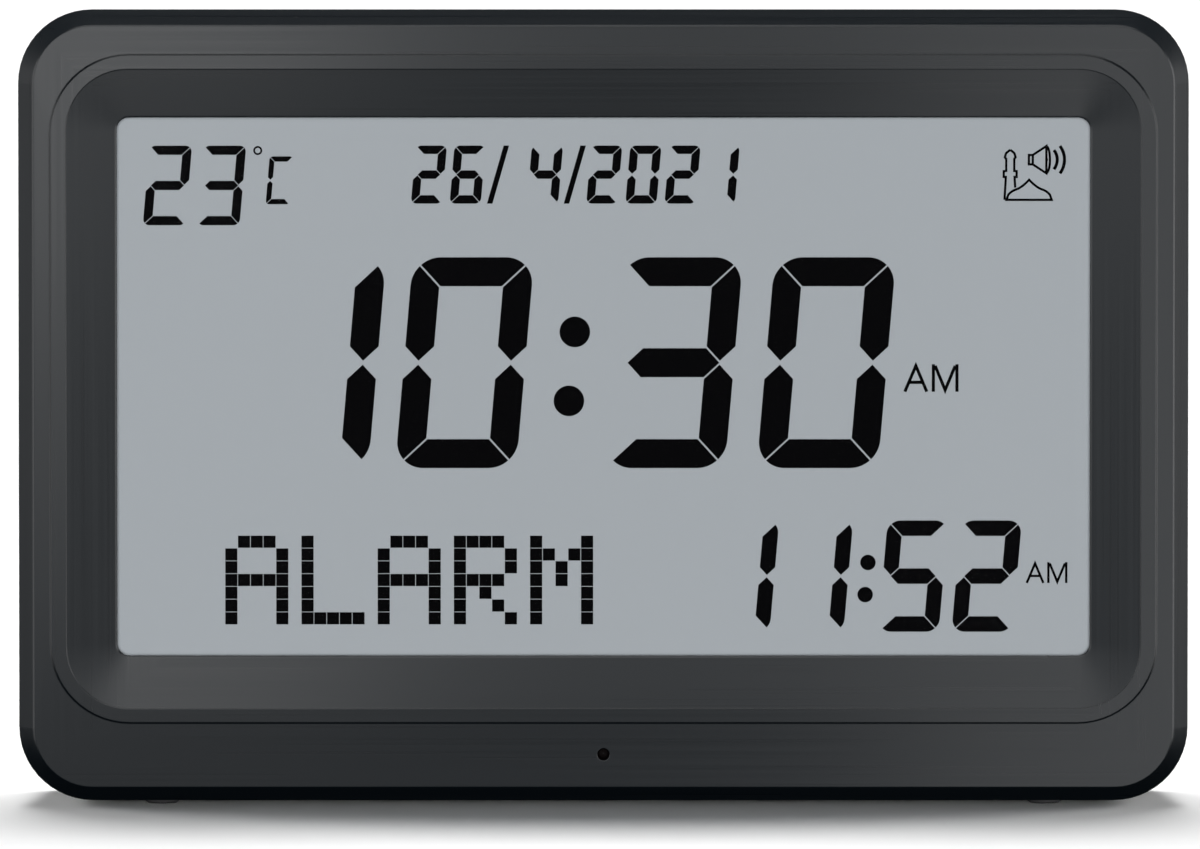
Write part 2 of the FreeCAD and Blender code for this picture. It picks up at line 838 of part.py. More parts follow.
def display_stack():
    """Gasket, clear lens, polariser, two glasses, reflector, elastomer strip and retainer."""
    gasket = Piece("lens_gasket")
    gasket.pad(lip_back, lens_front, window_outline(s.lens_margin, s.window_radius))
    inner = window_outline(s.lens_margin - s.gasket_width, s.window_radius)
    gasket.bore(lip_back, lens_front, inner)
    lens = Piece("display_lens")
    lens.pad(lens_front, lens_back, window_outline(s.lens_margin, s.window_radius))
    film = Piece("front_polariser")
    film.pad(film_front, front_glass, window_outline(s.film_margin, s.film_corner))
    low, high = s.window_bottom - s.lens_margin, window_top + s.lens_margin
    front = Piece("lcd_front_glass")
    front.pad(front_glass, rear_glass, box(-lens_reach, lens_reach, low, high))
    rear = Piece("lcd_rear_glass")
    ledge = low + s.contact_ledge
    rear.pad(rear_glass, reflector_front, box(-lens_reach, lens_reach, ledge, high))
    reflector = Piece("lcd_reflector")
    reflector.pad(reflector_front, lcd_back, window_outline(s.reflector_margin, s.film_corner))
    strip_z = low + s.contact_ledge / 2
    half, reach = s.strip_width / 2, s.strip_length / 2
    strip = Piece("elastomer_strip")
    strip.pad(rear_glass, board_front, box(-reach, reach, strip_z - half, strip_z + half))
    retainer = Piece("lcd_retainer")
    side = lens_reach + s.well_gap + s.well_rib + s.retainer_overlap
    bottom = board_screw_heights[0] - s.retainer_edge
    top = board_screw_heights[1] + s.retainer_edge
    retainer.pad(lcd_back, board_front, Rounded(-side, side, bottom, top, s.retainer_corner))
    opening = window_outline(-s.retainer_opening, s.retainer_corner)
    retainer.bore(lcd_back, board_front, opening)
    half, reach = half + s.strip_gap, reach + s.strip_gap
    slot = box(-reach, reach, strip_z - half, strip_z + half)
    retainer.bore(lcd_back, board_front, slot)
    clear = board_screw_discs(s.board_screw_radius + s.clearance_hole)
    retainer.bore(lcd_back, board_front, *clear)


def screw(label, x, z, seat, tip, radius, head_radius, head_height, facing=1):
    """A pan-head screw along Y: its head lies behind the seat, or in front if facing is -1."""
    made = Piece(label, x=x, depth=seat, height=z, alone=False)
    reach = tip - seat
    crown = head_height * facing
    made.turned(
        (dim(0), reach),
        (radius * TIP_FLAT, reach),
        (radius, reach + radius * facing),
        (radius, dim(0)),
        (head_radius, dim(0)),
        (head_radius, crown * HEAD_SIDE),
        (head_radius * CROWN_EDGE, crown * CROWN_DROP),
        (head_radius * CROWN_FLAT, crown),
        (dim(0), crown),
    )
    low, high = head_height * CROSS_FLOOR, head_height + s.overrun
    if facing < 0:
        low, high = -high, -low
    arm, half = head_radius * CROSS_REACH, head_radius * CROSS_HALF
    made.cut(low, high, box(-arm, arm, -half, half))
    made.cut(low, high, box(-half, half, -arm, arm))
    return made


def board_screws():
    pieces = [
        screw(
            f"board_screw_{i}",
            x,
            z,
            board_back,
            board_back - s.board_screw_length,
            s.board_screw_radius,
            s.board_head_radius,
            s.board_head_height,
        )
        for i, (x, z) in enumerate(board_screw_spots)
    ]
    group("board_screws", pieces)


def case_screws():
    seat = s.bezel_depth + s.case_screw_web
    pieces = [
        screw(
            f"case_screw_{i}_{j}",
            x,
            z,
            seat,
            seat - s.case_screw_length,
            s.case_screw_radius,
            s.case_head_radius,
            s.case_head_height,
        )
        for i, x in enumerate(both(case_screw_reach))
        for j, z in enumerate(case_screw_heights)
    ]
    group("case_screws", pieces)


def main_board():
    """The board that drives the display, with its chips, crystal, capacitors and sockets."""
    board = Piece("main_board")
    half = s.board_width / 2
    low = board_screw_heights[0] - s.board_edge
    high = board_screw_heights[1] + s.board_edge
    board.pad(board_front, board_back, Rounded(-half, half, low, high, s.board_corner))
    clear = board_screw_discs(s.board_screw_radius + s.clearance_hole)
    board.bore(board_front, board_back, *clear)
    side = s.processor_side / 2
    chip = Piece("processor_chip", depth=board_back, height=s.processor_z)
    chip.pad(dim(0), s.processor_height, Rounded(-side, side, -side, side, s.chip_corner))
    leads, row = side + s.chip_lead_reach, side * LEAD_ROW
    chip.pad(dim(0), s.chip_lead_thickness, box(-leads, leads, -row, row))
    chip.pad(dim(0), s.chip_lead_thickness, box(-row, row, -leads, leads))
    chips = []
    for i, (x, z, wide, tall) in enumerate(SMALL_CHIPS):
        one = Piece(f"small_chip_{i}", x=x, depth=board_back, height=z, alone=False)
        one.pad(dim(0), s.small_chip_height, box(-wide / 2, wide / 2, -tall / 2, tall / 2))
        chips.append(one)
    group("board_chips", chips)
    crystal_x, crystal_z = CRYSTAL
    crystal = Piece("clock_crystal", x=crystal_x, depth=board_back, height=crystal_z)
    half, tall = s.crystal_length / 2, s.crystal_width / 2
    can = Rounded(-half, half, -tall, tall, tall - s.crystal_flat)
    crystal.pad(dim(0), s.crystal_height, can)
    cans = []
    for i, (x, z) in enumerate(CAPACITORS):
        one = Piece(f"capacitor_{i}", x=x, depth=board_back, height=z, alone=False)
        crimp = s.can_crimp
        one.turned(
            (0, 0),
            (s.can_radius, 0),
            (s.can_radius, s.can_height - crimp),
            (s.can_radius - crimp, s.can_height),
            (0, s.can_height),
        )
        cans.append(one)
    group("board_capacitors", cans)
    sockets = []
    for name, (x, z, wide, depth) in SOCKETS.items():
        one = Piece(f"{name}_socket", x=x, depth=board_back, height=z, alone=False)
        half = s.socket_rise / 2
        one.pad(dim(0), dim(depth), box(-wide / 2, wide / 2, -half, half))
        sockets.append(one)
    group("board_connectors", sockets)


def light_sensor():
    """The sensor in its rubber sleeve behind the small hole, and its own little board."""
    back = sensor_seat_back
    sleeve = Piece("sensor_sleeve", height=s.sensor_height)
    outer, bore = s.sensor_seat_radius - s.sleeve_gap, s.sensor_radius + s.sleeve_gap
    sleeve.turned((bore, cavity_floor), (outer, cavity_floor), (outer, back), (bore, back))
    sensor = Piece("light_sensor", height=s.sensor_height)
    dome = [(s.sensor_radius * math.sin(a), s.sensor_radius * (1 - math.cos(a))) for a in DOME_STEPS]
    tip = cavity_floor + s.sensor_tip_gap
    sensor.turned(
        *[(across, tip + deep) for across, deep in dome],
        (s.sensor_radius, back),
        (dim(0), back),
    )
    board = Piece("sensor_board", height=s.sensor_height)
    half, tall = s.sensor_board_width / 2, s.sensor_board_height / 2
    board.pad(back, sensor_board_back, box(-half, half, -tall, tall))
    holes = [Disc(x, 0, s.stake_radius + s.stake_gap) for x in both(s.stake_reach)]
    board.bore(back, sensor_board_back, *holes)


def rear_cover():
    """The back shell: battery bay, stand recess, key panel, grille, keyholes and posts."""
    cover = Piece("rear_cover")
    radius = s.corner_radius - s.rear_corner_drop
    sections = [
        (s.bezel_depth, rear_outline(dim(0), radius)),
        (rear_edge_start, rear_outline(s.rear_taper, radius - s.rear_corner_taper)),
    ]
    for angle in EDGE_STEPS:
        run = s.rear_edge_run * (1 - math.cos(angle))
        level = rear_edge_start + s.rear_edge * math.sin(angle)
        rounding = radius - s.rear_corner_taper - run
        outline = case_outline(rear_inset + run, rear_inset + run, run, rounding)
        sections.append((level, outline))
    cover.loft(*sections)
    hollow_rear(cover)
    add_tongue(cover)
    add_rear_blocks(cover)
    cut_rear_screws(cover)
    cut_battery_bay(cover)
    cut_stand_recess(cover)
    cut_key_panel(cover)
    cut_grille(cover)
    cut_keyholes(cover)
    cover.cut(-s.overrun, s.foot_recess, *foot_discs(s.rear_foot_depth), plane="XY")


def hollow_rear(cover):
    wall, edge = s.case_wall, s.inner_edge
    radius = s.corner_radius - s.rear_corner_drop - wall
    near, far = joint_inset + wall, rear_inset + wall
    last = case_outline(far + edge, far + edge, wall + edge, radius - s.rear_corner_taper - edge)
    cover.loft(
        (s.bezel_depth - s.overrun, case_outline(near, near, wall, radius)),
        (rear_edge_start, case_outline(far, far, wall, radius - s.rear_corner_taper)),
        (rear_inner, last),
        remove=True,
    )


def add_tongue(cover):
    """The lip that slides inside the bezel's walls and lines up the two shells."""
    gap, bite, thick = s.tongue_gap, s.tongue_bite, s.tongue_thickness
    side, bottom = s.side_draft + s.case_wall + gap, s.case_wall + gap
    radius = s.corner_radius - s.case_wall - gap
    root = s.bezel_depth + s.tongue_root
    tip = s.bezel_depth - s.tongue_length
    band = case_outline(side - bite, side - bite, bottom - bite, radius + bite)
    cover.pad(s.bezel_depth, root, band)
    cover.pad(tip, s.bezel_depth, case_outline(side, side, bottom, radius))
    inner = case_outline(side + thick, side + thick, bottom + thick, radius - thick)
    cover.cut(tip - s.overrun, root + s.wall_bite, inner)


def add_rear_blocks(cover):
    """Solid blocks inside the back wall that the bay, recess, panel and posts are cut from."""
    cover.pad(bay_front, root_depth, bay_outline(s.bay_wall, s.bay_corner))
    reach = s.door_pivot_length + s.lug_side
    low, high = door_pivot_z - s.lug_below, door_pivot_z + s.lug_above
    lugs = box(door_left - reach, door_right + reach, low, high)
    cover.pad(s.case_depth - s.lug_depth, root_depth, lugs)
    floor_front = recess_floor - s.case_wall
    half = pin_half + s.pin_end_wall
    foot = s.case_wall - s.overrun
    cover.pad(floor_front, root_depth, box(-half, half, foot, recess_high + s.case_wall))
    scoop = Disc(recess_half, s.scoop_height, s.scoop_radius + s.case_wall)
    cover.pad(floor_front, root_depth, scoop)
    half = panel_half + s.panel_rim
    left, right = panel_left - s.panel_rim, panel_right + s.panel_rim
    cover.pad(panel_inner, root_depth, box(left, right, s.key_height - half, s.key_height + half))
    posts = [Disc(x, s.key_height, s.key_post_radius) for x in key_post_spots]
    cover.pad(switch_front, root_depth, *posts)
    cover.pad(speaker_flange_front, root_depth, *speaker_posts(s.board_screw_radius + s.boss_wall))
    bosses = s.case_head_radius + s.well_clearance + s.boss_wall
    cover.pad(s.bezel_depth + s.wall_bite, root_depth, *corner_discs(bosses))


def speaker_posts(radius):
    return [Disc(x, z, radius) for x, z in speaker_screw_spots()]


def speaker_screw_spots():
    """Three places evenly round the speaker, the first one straight above it."""
    reach = s.speaker_radius + s.board_screw_radius + s.boss_wall + s.speaker_post_gap
    turns = [math.radians(90 + 120 * i) for i in range(3)]
    return [(s.speaker_x + reach * math.cos(a), s.speaker_z + reach * math.sin(a)) for a in turns]


def cut_rear_screws(cover):
    seat = s.bezel_depth + s.case_screw_web
    cover.cut(seat, beyond, *corner_discs(s.case_head_radius + s.well_clearance))
    cover.bore(s.bezel_depth, seat, *corner_discs(s.case_screw_radius + s.case_hole_gap))
    thread = s.board_screw_radius + s.screw_gap
    posts = [Disc(x, s.key_height, thread) for x in key_post_spots]
    cover.cut(switch_front - s.overrun, key_screw_tip + s.screw_tip_room, *posts)
    deep = speaker_screw_tip + s.speaker_tip_room
    cover.cut(speaker_flange_front - s.overrun, deep, *speaker_posts(thread))


def cut_battery_bay(cover):
    cover.cut(bay_floor, beyond, bay_outline(dim(0), s.bay_inner_corner))
    ledge = s.door_ledge
    left, right, low = bay_left - ledge, bay_right + ledge, bay_low - ledge
    recess = Rounded(left, right, low, door_recess_high, s.door_gap * 2)
    cover.cut(door_under - s.door_rest_gap, beyond, recess)
    swing = box(left, right, door_pivot_z - s.swing_below, door_recess_high)
    cover.cut(s.case_depth - s.swing_depth, door_under, swing)
    lug = s.door_pivot_length + s.lug_end_gap
    pivot = Disc(door_pivot_y, door_pivot_z, s.door_pivot_radius + s.door_pivot_gap)
    cover.cut(door_left - lug, door_right + lug, pivot, plane="YZ")
    cover.cut(s.case_depth - s.notch_depth, beyond, Disc(s.bay_x, low, s.notch_radius))
    half, tall = s.contact_slot_width / 2, s.contact_slot_height / 2
    slots = [box(x - half, x + half, z - tall, z + tall) for x, z in terminal_spots()]
    cover.bore(bay_front, bay_floor, *slots)


def terminal_spots():
    """Where the two end contacts' tabs pass through the bay's floor."""
    inner = s.contact_thickness / 2
    return (
        (bay_right - inner, s.bay_z + s.cell_pitch),
        (bay_left + inner, s.bay_z - s.cell_pitch),
    )


def cut_stand_recess(cover):
    half = recess_half
    recess = Rounded(-half, half, recess_low, recess_high, s.stand_recess_corner)
    cover.cut(recess_floor, beyond, recess)
    cover.cut(recess_floor, beyond, Disc(recess_half, s.scoop_height, s.scoop_radius))
    reach = pin_half + s.pin_end_gap
    seat = Disc(hinge_depth, s.hinge_height, s.pin_radius + s.pin_seat_gap)
    cover.cut(-reach, reach, seat, plane="YZ")


def cut_key_panel(cover):
    low, high = s.key_height - panel_half, s.key_height + panel_half
    cover.cut(panel_floor, beyond, Rounded(panel_left, panel_right, low, high, s.panel_corner))
    wide, tall = s.key_width / 2 + s.key_gap, s.key_rise / 2 + s.key_gap
    low, high = s.key_height - tall, s.key_height + tall
    corner = s.key_corner + s.key_gap
    openings = [Rounded(x - wide, x + wide, low, high, corner) for x in key_spots]
    tall = s.selector_rise / 2 + s.key_gap
    low, high = s.key_height - tall, s.key_height + tall
    reach = s.selector_width / 2 + s.key_gap
    stop = s.selector_x + s.selector_travel
    openings.append(box(s.selector_x - reach, stop + reach, low, high))
    cover.cut(panel_inner - s.overrun, beyond, *openings)


def cut_grille(cover):
    """Rings of small round holes about a middle one, six more in each ring than in the last."""
    discs = [Disc(s.speaker_x, s.speaker_z, s.grille_hole_radius)]
    for ring in range(1, GRILLE_RINGS + 1):
        for i in range(6 * ring):
            angle = 2 * math.pi * i / (6 * ring)
            x = s.speaker_x + s.grille_pitch * ring * math.cos(angle)
            z = s.speaker_z + s.grille_pitch * ring * math.sin(angle)
            discs.append(Disc(x, z, s.grille_hole_radius))
    cover.cut(rear_inner - s.overrun, beyond, *discs)


def cut_keyholes(cover):
    """Each keyhole is a round entry with a narrow slot above it, closed by a half round."""
    inner = rear_inner - s.overrun
    slot = s.keyhole_slot_radius
    crown = s.keyhole_height + s.keyhole_slot_length
    spots = both(s.keyhole_spacing / 2)
    entry = s.keyhole_entry_radius
    cover.cut(inner, beyond, *[Disc(x, s.keyhole_height, entry) for x in spots])
    cover.cut(inner, beyond, *[box(x - slot, x + slot, s.keyhole_height, crown) for x in spots])
    cover.cut(inner, beyond, *[Disc(x, crown, slot) for x in spots])


def buttons():
    """Six push buttons, each a cap with a flange behind the panel, and its white plunger."""
    wide, tall, soft = s.key_width / 2, s.key_rise / 2, s.key_edge
    top = panel_floor + s.key_proud
    for name, x in zip(BUTTONS, key_spots):
        cap = Piece(f"button_{name}", x=x, height=s.key_height)
        lower = Rounded(-wide, wide, -tall, tall, s.key_corner)
        corner = s.key_corner - s.key_corner_drop
        upper = Rounded(soft - wide, wide - soft, soft - tall, tall - soft, corner)
        cap.loft((key_flange_back - s.key_root, lower), (top - soft, lower), (top, upper))
        side, rise = wide + s.key_flange, tall + s.key_flange
        cap.pad(key_flange_front, key_flange_back, box(-side, side, -rise, rise))
        stem = Disc(0, 0, s.plunger_radius + s.key_stem_margin)
        cap.pad(plunger_back, key_flange_front + s.key_root, stem)
    for name, x in zip(BUTTONS, key_spots):
        plunger = Piece(f"plunger_{name}", x=x, height=s.key_height)
        plunger.pad(plunger_back - s.plunger_length, plunger_back, Disc(0, 0, s.plunger_radius))


def key_board():
    """The board behind the buttons, with its switches, the selector switch and its screws."""
    board = Piece("key_board", height=s.key_height)
    half = s.key_board_rise / 2
    outline = Rounded(panel_left, panel_right, -half, half, s.key_board_corner)
    board.pad(key_board_front, switch_front, outline)
    holes = [Disc(x, 0, s.board_screw_radius + s.case_hole_gap) for x in key_post_spots]
    board.bore(key_board_front, switch_front, *holes)
    side = s.switch_side / 2
    bore = plunger_back - s.plunger_length - s.key_travel - s.plunger_gap
    switches = []
    for i, x in enumerate(key_spots):
        one = Piece(f"switch_{i}", x=x, height=s.key_height, alone=False)
        one.pad(switch_front, switch_back, Rounded(-side, side, -side, side, s.switch_corner))
        one.cut(bore, switch_back + s.overrun, Disc(0, 0, s.plunger_radius + s.plunger_gap))
        switches.append(one)
    group("switch_bodies", switches)
    screws = [
        screw(
            f"key_board_screw_{i}",
            x,
            s.key_height,
            key_board_front,
            key_screw_tip,
            s.board_screw_radius,
            s.board_head_radius,
            s.board_head_height,
            facing=-1,
        )
        for i, x in enumerate(key_post_spots)
    ]
    group("key_board_screws", screws)


def selector():
    """The slide selector: a ridged knob in the panel, and the switch that it moves."""
    knob = Piece("selector_knob", x=s.selector_x, height=s.key_height)
    wide, tall = s.selector_width / 2, s.selector_rise / 2
    top = panel_floor + s.key_proud
    low = top - s.selector_ridge
    block = Rounded(-wide, wide, -tall, tall, s.selector_corner)
    knob.pad(key_flange_back - s.key_root, low, block)
    count = 2 * SELECTOR_RIDGES + 1
    ridge = s.selector_width / count
    lefts = [ridge * i - wide for i in range(1, count, 2)]
    ridges = [box(left, left + ridge, -tall, tall) for left in lefts]
    knob.pad(low - s.overrun, top, *ridges)
    cover = s.selector_travel + wide + s.selector_overlap
    rise = tall + s.key_flange
    knob.pad(key_flange_front, key_flange_back, box(-cover, cover, -rise, rise))
    stem, stem_rise = s.selector_stem / 2, s.selector_stem / 2 * STEM_SHAPE
    stem_front = switch_back - s.selector_stem_depth
    stem_box = box(-stem, stem, -stem_rise, stem_rise)
    knob.pad(stem_front, key_flange_front + s.key_root, stem_box)
    middle = s.selector_x + s.selector_travel / 2
    switch = Piece("selector_switch", x=middle, height=s.key_height)
    half, rise = s.selector_switch_width / 2, s.selector_switch_rise / 2
    switch.pad(switch_front, switch_back, box(-half, half, -rise, rise))
    reach = s.selector_travel / 2 + stem + s.selector_end_gap
    slot = box(-reach, reach, -stem, stem)
    switch.cut(stem_front - s.selector_end_gap, switch_back + s.overrun, slot)


def speaker():
    """A round speaker that faces back through the grille, clamped by three screws."""
    place = {"x": s.speaker_x, "height": s.speaker_z}
    outer, rim = s.speaker_radius, s.speaker_radius - s.speaker_rim
    plate = speaker_front + s.magnet_height
    hole = s.magnet_radius * POLE_SHARE
    skin = s.basket_skin
    neck = s.magnet_radius + s.basket_neck
    well, ledge = rim - s.cone_roll_edge, rim - s.cone_ledge
    seat = speaker_back - s.cone_well
    basket = Piece("speaker_basket", **place)
    basket.turned(
        (hole, plate),
        (neck, plate),
        (rim - skin / 2, speaker_flange_front),
        (outer, speaker_flange_front),
        (outer, speaker_back),
        (well, speaker_back),
        (well, seat),
        (ledge, seat),
        (neck - skin, plate + skin),
        (hole, plate + skin),
    )
    magnet = Piece("speaker_magnet", **place)
    magnet.turned(
        (dim(0), speaker_front),
        (s.magnet_radius - s.magnet_edge, speaker_front),
        (s.magnet_radius, speaker_front + s.magnet_edge),
        (s.magnet_radius, plate),
        (dim(0), plate),
    )
    pole = Disc(0, 0, hole - s.pole_gap)
    magnet.pad(plate - s.overrun, plate + s.pole_height, pole)
    add_cone(place, rim, plate)
    gasket = Piece("speaker_gasket", **place)
    gasket.turned(
        (rim, speaker_back), (outer, speaker_back), (outer, rear_inner), (rim, rear_inner)
    )
    screws = []
    for i, (x, z) in enumerate(speaker_screw_spots()):
        screws.append(
            screw(
                f"speaker_screw_{i}",
                x,
                z,
                speaker_flange_front,
                speaker_screw_tip,
                s.board_screw_radius,
                s.board_screw_radius + s.boss_wall + s.speaker_head_reach,
                s.board_head_height,
                facing=-1,
            )
        )
    group("speaker_screws", screws)


def add_cone(place, rim, plate):
    """The paper cone with its domed dust cap and its rolled edge, all of one thickness."""
    skin = s.cone_skin
    cap = s.magnet_radius * CAP_SHARE
    deep = plate + s.cone_lift
    front = [
        (dim(0), deep + s.cap_height),
        (cap * CAP_SHOULDER, deep + s.cap_height * CAP_FALL),
        (cap, deep),
        (rim - s.roll_inner, speaker_back - s.roll_drop),
        (rim - s.roll_inner_crest, speaker_back - s.roll_crest),
        (rim - s.roll_outer_crest, speaker_back - s.roll_crest),
        (rim - s.roll_outer, speaker_back - s.roll_outer_drop),
    ]
    back = [
        (rim - s.roll_outer, speaker_back - s.cone_well),
        (rim - s.roll_outer_crest, speaker_back - s.roll_crest - skin),
        (rim - s.roll_inner_crest, speaker_back - s.roll_crest - skin),
        (rim - s.roll_inner + skin / 2, speaker_back - s.roll_drop - skin),
        (cap, deep - skin),
        (cap * CAP_SHOULDER, deep + s.cap_height * CAP_FALL - skin),
        (dim(0), deep + s.cap_height - skin),
    ]
    cone = Piece("speaker_cone", **place)
    cone.turned(*front, *back)


def battery_cells():
    """Three AA cells side by side, the middle one turned the other way round."""
    body_length = s.cell_length - s.cell_nub
    edge = s.cell_edge
    for name, row, way in CELL_ROWS:
        turn = Rotation(Vector(0, 0, 1), -90 * way)
        z = s.bay_z + s.cell_pitch * row
        start = s.bay_x + (cell_shift - s.cell_length / 2) * way
        cell = Piece(f"battery_{name}", x=start, depth=cell_depth, height=z, turn=turn)
        cell.turned(
            (dim(0), edge),
            (s.cell_radius - s.cell_rim, edge),
            (s.cell_radius - s.cell_rim + s.cell_nub_edge, dim(0)),
            (s.cell_radius - s.cell_nub_edge, dim(0)),
            (s.cell_radius, edge),
            (s.cell_radius, body_length - edge),
            (s.cell_radius - edge, body_length),
            (s.cell_nub_radius, body_length),
            (s.cell_nub_radius, s.cell_length - s.cell_nub_edge),
            (s.cell_nub_radius - s.cell_nub_edge, s.cell_length),
            (dim(0), s.cell_length),
        )


def battery_contacts():
    """Sprung and flat contacts at the bay's ends, joining the cells in a row."""
    half, deep = s.plate_rise / 2, s.plate_depth / 2
    inner_right = bay_right - s.contact_thickness
    links = {
        "left_link": (bay_left, 0.5, s.cell_pitch / 2),
        "left_end": (bay_left, -1, dim(0)),
        "right_end": (inner_right, 1, dim(0)),
        "right_link": (inner_right, -0.5, s.cell_pitch / 2),
    }
    plates = []
    for name, (x, row, grow) in links.items():
        height = s.bay_z + s.cell_pitch * row
        plate = Piece(f"contact_{name}", x=x, depth=cell_depth, height=height, alone=False)
        tall = half + grow
        plate.pad(dim(0), s.contact_thickness, box(-deep, deep, -tall, tall), plane="YZ")
        if name.endswith("end"):
            tab = box(tab_front - cell_depth, s.plate_bite - deep, -s.tab_half, s.tab_half)
            plate.pad(dim(0), s.contact_thickness, tab, plane="YZ")
        plates.append(plate)
    group("battery_plates", plates)
    room = s.bay_length - s.contact_thickness * 2 - s.cell_length - s.spring_gap * 2
    springs = []
    for name, row, way in CELL_ROWS:
        wall = bay_left if way > 0 else bay_right
        spring = doc.addObject("Part::Feature", f"spring_{name}")
        spring.Shape = coil_spring(number(room), number(s.spring_wire))
        turn = Rotation(Vector(0, 1, 0), 90 * way)
        x = wall + (s.contact_thickness + s.spring_gap) * way
        put(spring, x, cell_depth, s.bay_z + s.cell_pitch * row, turn)
        springs.append(spring)
    join("battery_springs", springs)


def coil_spring(length, wire):
    """A conical compression spring along +Z, with its wide end at the base plate."""
    tip_radius = number(s.cell_radius) * SPRING_TIP
    slant = (length - 2 * wire) / math.cos(math.radians(SPRING_TAPER))
    spine = Part.makeLongHelix(slant / SPRING_TURNS, slant, tip_radius, SPRING_TAPER)
    spine.rotate(Vector(), Vector(1, 0, 0), 180)
    spine.translate(Vector(0, 0, length - wire))
    return swept(Part.Wire(spine.Edges), wire)


def swept(path, radius):
    """A round wire along a path."""
    first = path.Edges[0]
    start = first.valueAt(first.FirstParameter)
    along = first.tangentAt(first.FirstParameter)
    section = Part.Wire([Part.makeCircle(radius, start, along)])
    return path.makePipeShell([section], True, True)


def battery_door():
    """The bay's door: it turns on two lugs at its top edge and snaps shut at the bottom."""
    door = Piece("battery_door")
    section = Loop(
        (door_under, door_low),
        (s.case_depth, door_low),
        (s.case_depth, door_pivot_z + s.door_nose),
        (door_pivot_y + s.door_nose * 2, door_high),
        (door_under, door_high),
    )
    door.pad(door_left, door_right, section, plane="YZ")
    reach = s.door_pivot_length
    pivot = Disc(door_pivot_y, door_pivot_z, s.door_pivot_radius)
    door.pad(door_left - reach, door_right + reach, pivot, plane="YZ")
    half = s.tongue_slit / 2
    low, high = door_low - s.overrun, door_low + s.snap_length
    spots = [s.bay_x + x for x in both(s.snap_width / 2)]
    door.bore(door_under, s.case_depth, *[box(x - half, x + half, low, high) for x in spots])
    grip = []
    reach, pitch = s.grip_width / 2, s.grip_rib * 2
    for i in range(GRIP_LINES):
        low = door_low + s.grip_start + pitch * i
        grip.append(box(s.bay_x - reach, s.bay_x + reach, low, low + s.grip_rib))
    door.cut(s.case_depth - s.grip_depth, beyond, *grip)


def stand():
    """The fold-out leg, the steel pin it turns on and the rubber pad at its tip."""
    leg = Piece("stand_leg")
    half = s.leg_width / 2
    leg.pad(leg_front, leg_back, Rounded(-half, half, leg_low, leg_high, s.leg_corner))
    leg.pad(-half, half, Disc(hinge_depth, s.hinge_height, s.hinge_barrel), plane="YZ")
    bore = Disc(hinge_depth, s.hinge_height, s.pin_radius + s.pin_gap)
    leg.bore(-half, half, bore, plane="YZ")
    inner = half - s.leg_rim
    low, high = leg_low + s.leg_panel_low, s.hinge_height - s.leg_panel_high
    panel = Rounded(-inner, inner, low, high, s.leg_panel_corner)
    leg.cut(leg_back - s.leg_panel_depth, leg_back + s.overrun, panel)
    reach, wall = half - s.pad_inset, s.pad_wall
    slot = box(-reach, reach, leg_front + wall, leg_back - wall)
    leg.cut(leg_low - s.pad_proud, leg_low + s.pad_depth, slot, plane="XY")
    tip = Piece("stand_pad")
    tip.pad(leg_low - s.pad_proud, leg_low + s.pad_depth, slot, plane="XY")
    pin = Piece("stand_pin")
    pin.pad(-pin_half, pin_half, Disc(hinge_depth, s.hinge_height, s.pin_radius), plane="YZ")


def feet():
    """Four round rubber feet let into the underside."""
    pieces = []
    edge = s.foot_edge
    for x in both(s.foot_reach):
        for depth in (s.front_foot_depth, s.rear_foot_depth):
            foot = Piece(f"foot_{len(pieces)}", x=x, depth=depth, alone=False)
            foot.loft(
                (s.foot_recess, Disc(0, 0, s.foot_radius)),
                (edge - s.foot_proud, Disc(0, 0, s.foot_radius)),
                (-s.foot_proud, Disc(0, 0, s.foot_radius - edge)),
                plane="XY",
            )
            pieces.append(foot)
    group("feet", pieces)


def cable(label, routes, radius):
    """Wires that run straight between bends, each bend an arc as large as its runs allow."""
    tubes = []
    for i, points in enumerate(routes):
        tube = doc.addObject("Part::Feature", f"{label}_{i}")
        path = rounded_path([Vector(*map(number, point)) for point in points])
        tube.Shape = swept(path, number(radius))
        put(tube)
        tubes.append(tube)
    join(label, tubes)


def rounded_path(points):
    edges = []
    start = points[0]
    for before, corner, after in zip(points, points[1:], points[2:]):
        back, on = before - corner, after - corner
        turn = math.pi - back.getAngle(on)
        cut = BEND_SHARE * min(back.Length, on.Length)
        back.normalize()
        on.normalize()
        first, last = corner + back * cut, corner + on * cut
        radius = cut / math.tan(turn / 2)
        inward = back + on
        inward.normalize()
        middle = corner + inward * (radius / math.cos(turn / 2) - radius)
        edges.append(Part.LineSegment(start, first).toShape())
        edges.append(Part.Arc(first, middle, last).toShape())
        start = last
    edges.append(Part.LineSegment(start, points[-1]).toShape())
    return Part.Wire(edges)


def cables():
    """The leads between the boards, the battery contacts and the speaker, and two ribbons."""
    battery_leads()
    speaker_leads()
    key_ribbon()
    sensor_ribbon()


def battery_leads():
    """A lead from each end contact's tab to its socket on the main board."""
    socket_x, socket_z, wide, depth = SOCKETS["battery"]
    entry = socket_x + wide / 2
    level = board_back + depth - s.lead_drop
    (plus_x, plus_z), (minus_x, minus_z) = terminal_spots()
    tab = (bay_front + tab_front) / 2
    aside = s.contact_thickness / 2 + s.lead_radius + s.lead_gap
    plus, minus = plus_x - aside, minus_x + aside
    high, low = socket_z + s.lead_pitch / 2, socket_z - s.lead_pitch / 2
    across, down, near = LEAD_BENDS
    routes = (
        (
            (plus, tab, plus_z),
            (plus - across, tab, plus_z - down),
            (s.bay_x + near, tab, bay_low + down - near),
            (bay_left + across, level, high),
            (entry, level, high),
        ),
        (
            (minus, tab, minus_z),
            (minus, tab, minus_z - down + near),
            (entry + down - near / 2, level, low),
            (entry, level, low),
        ),
    )
    cable("battery_leads", routes, s.lead_radius)


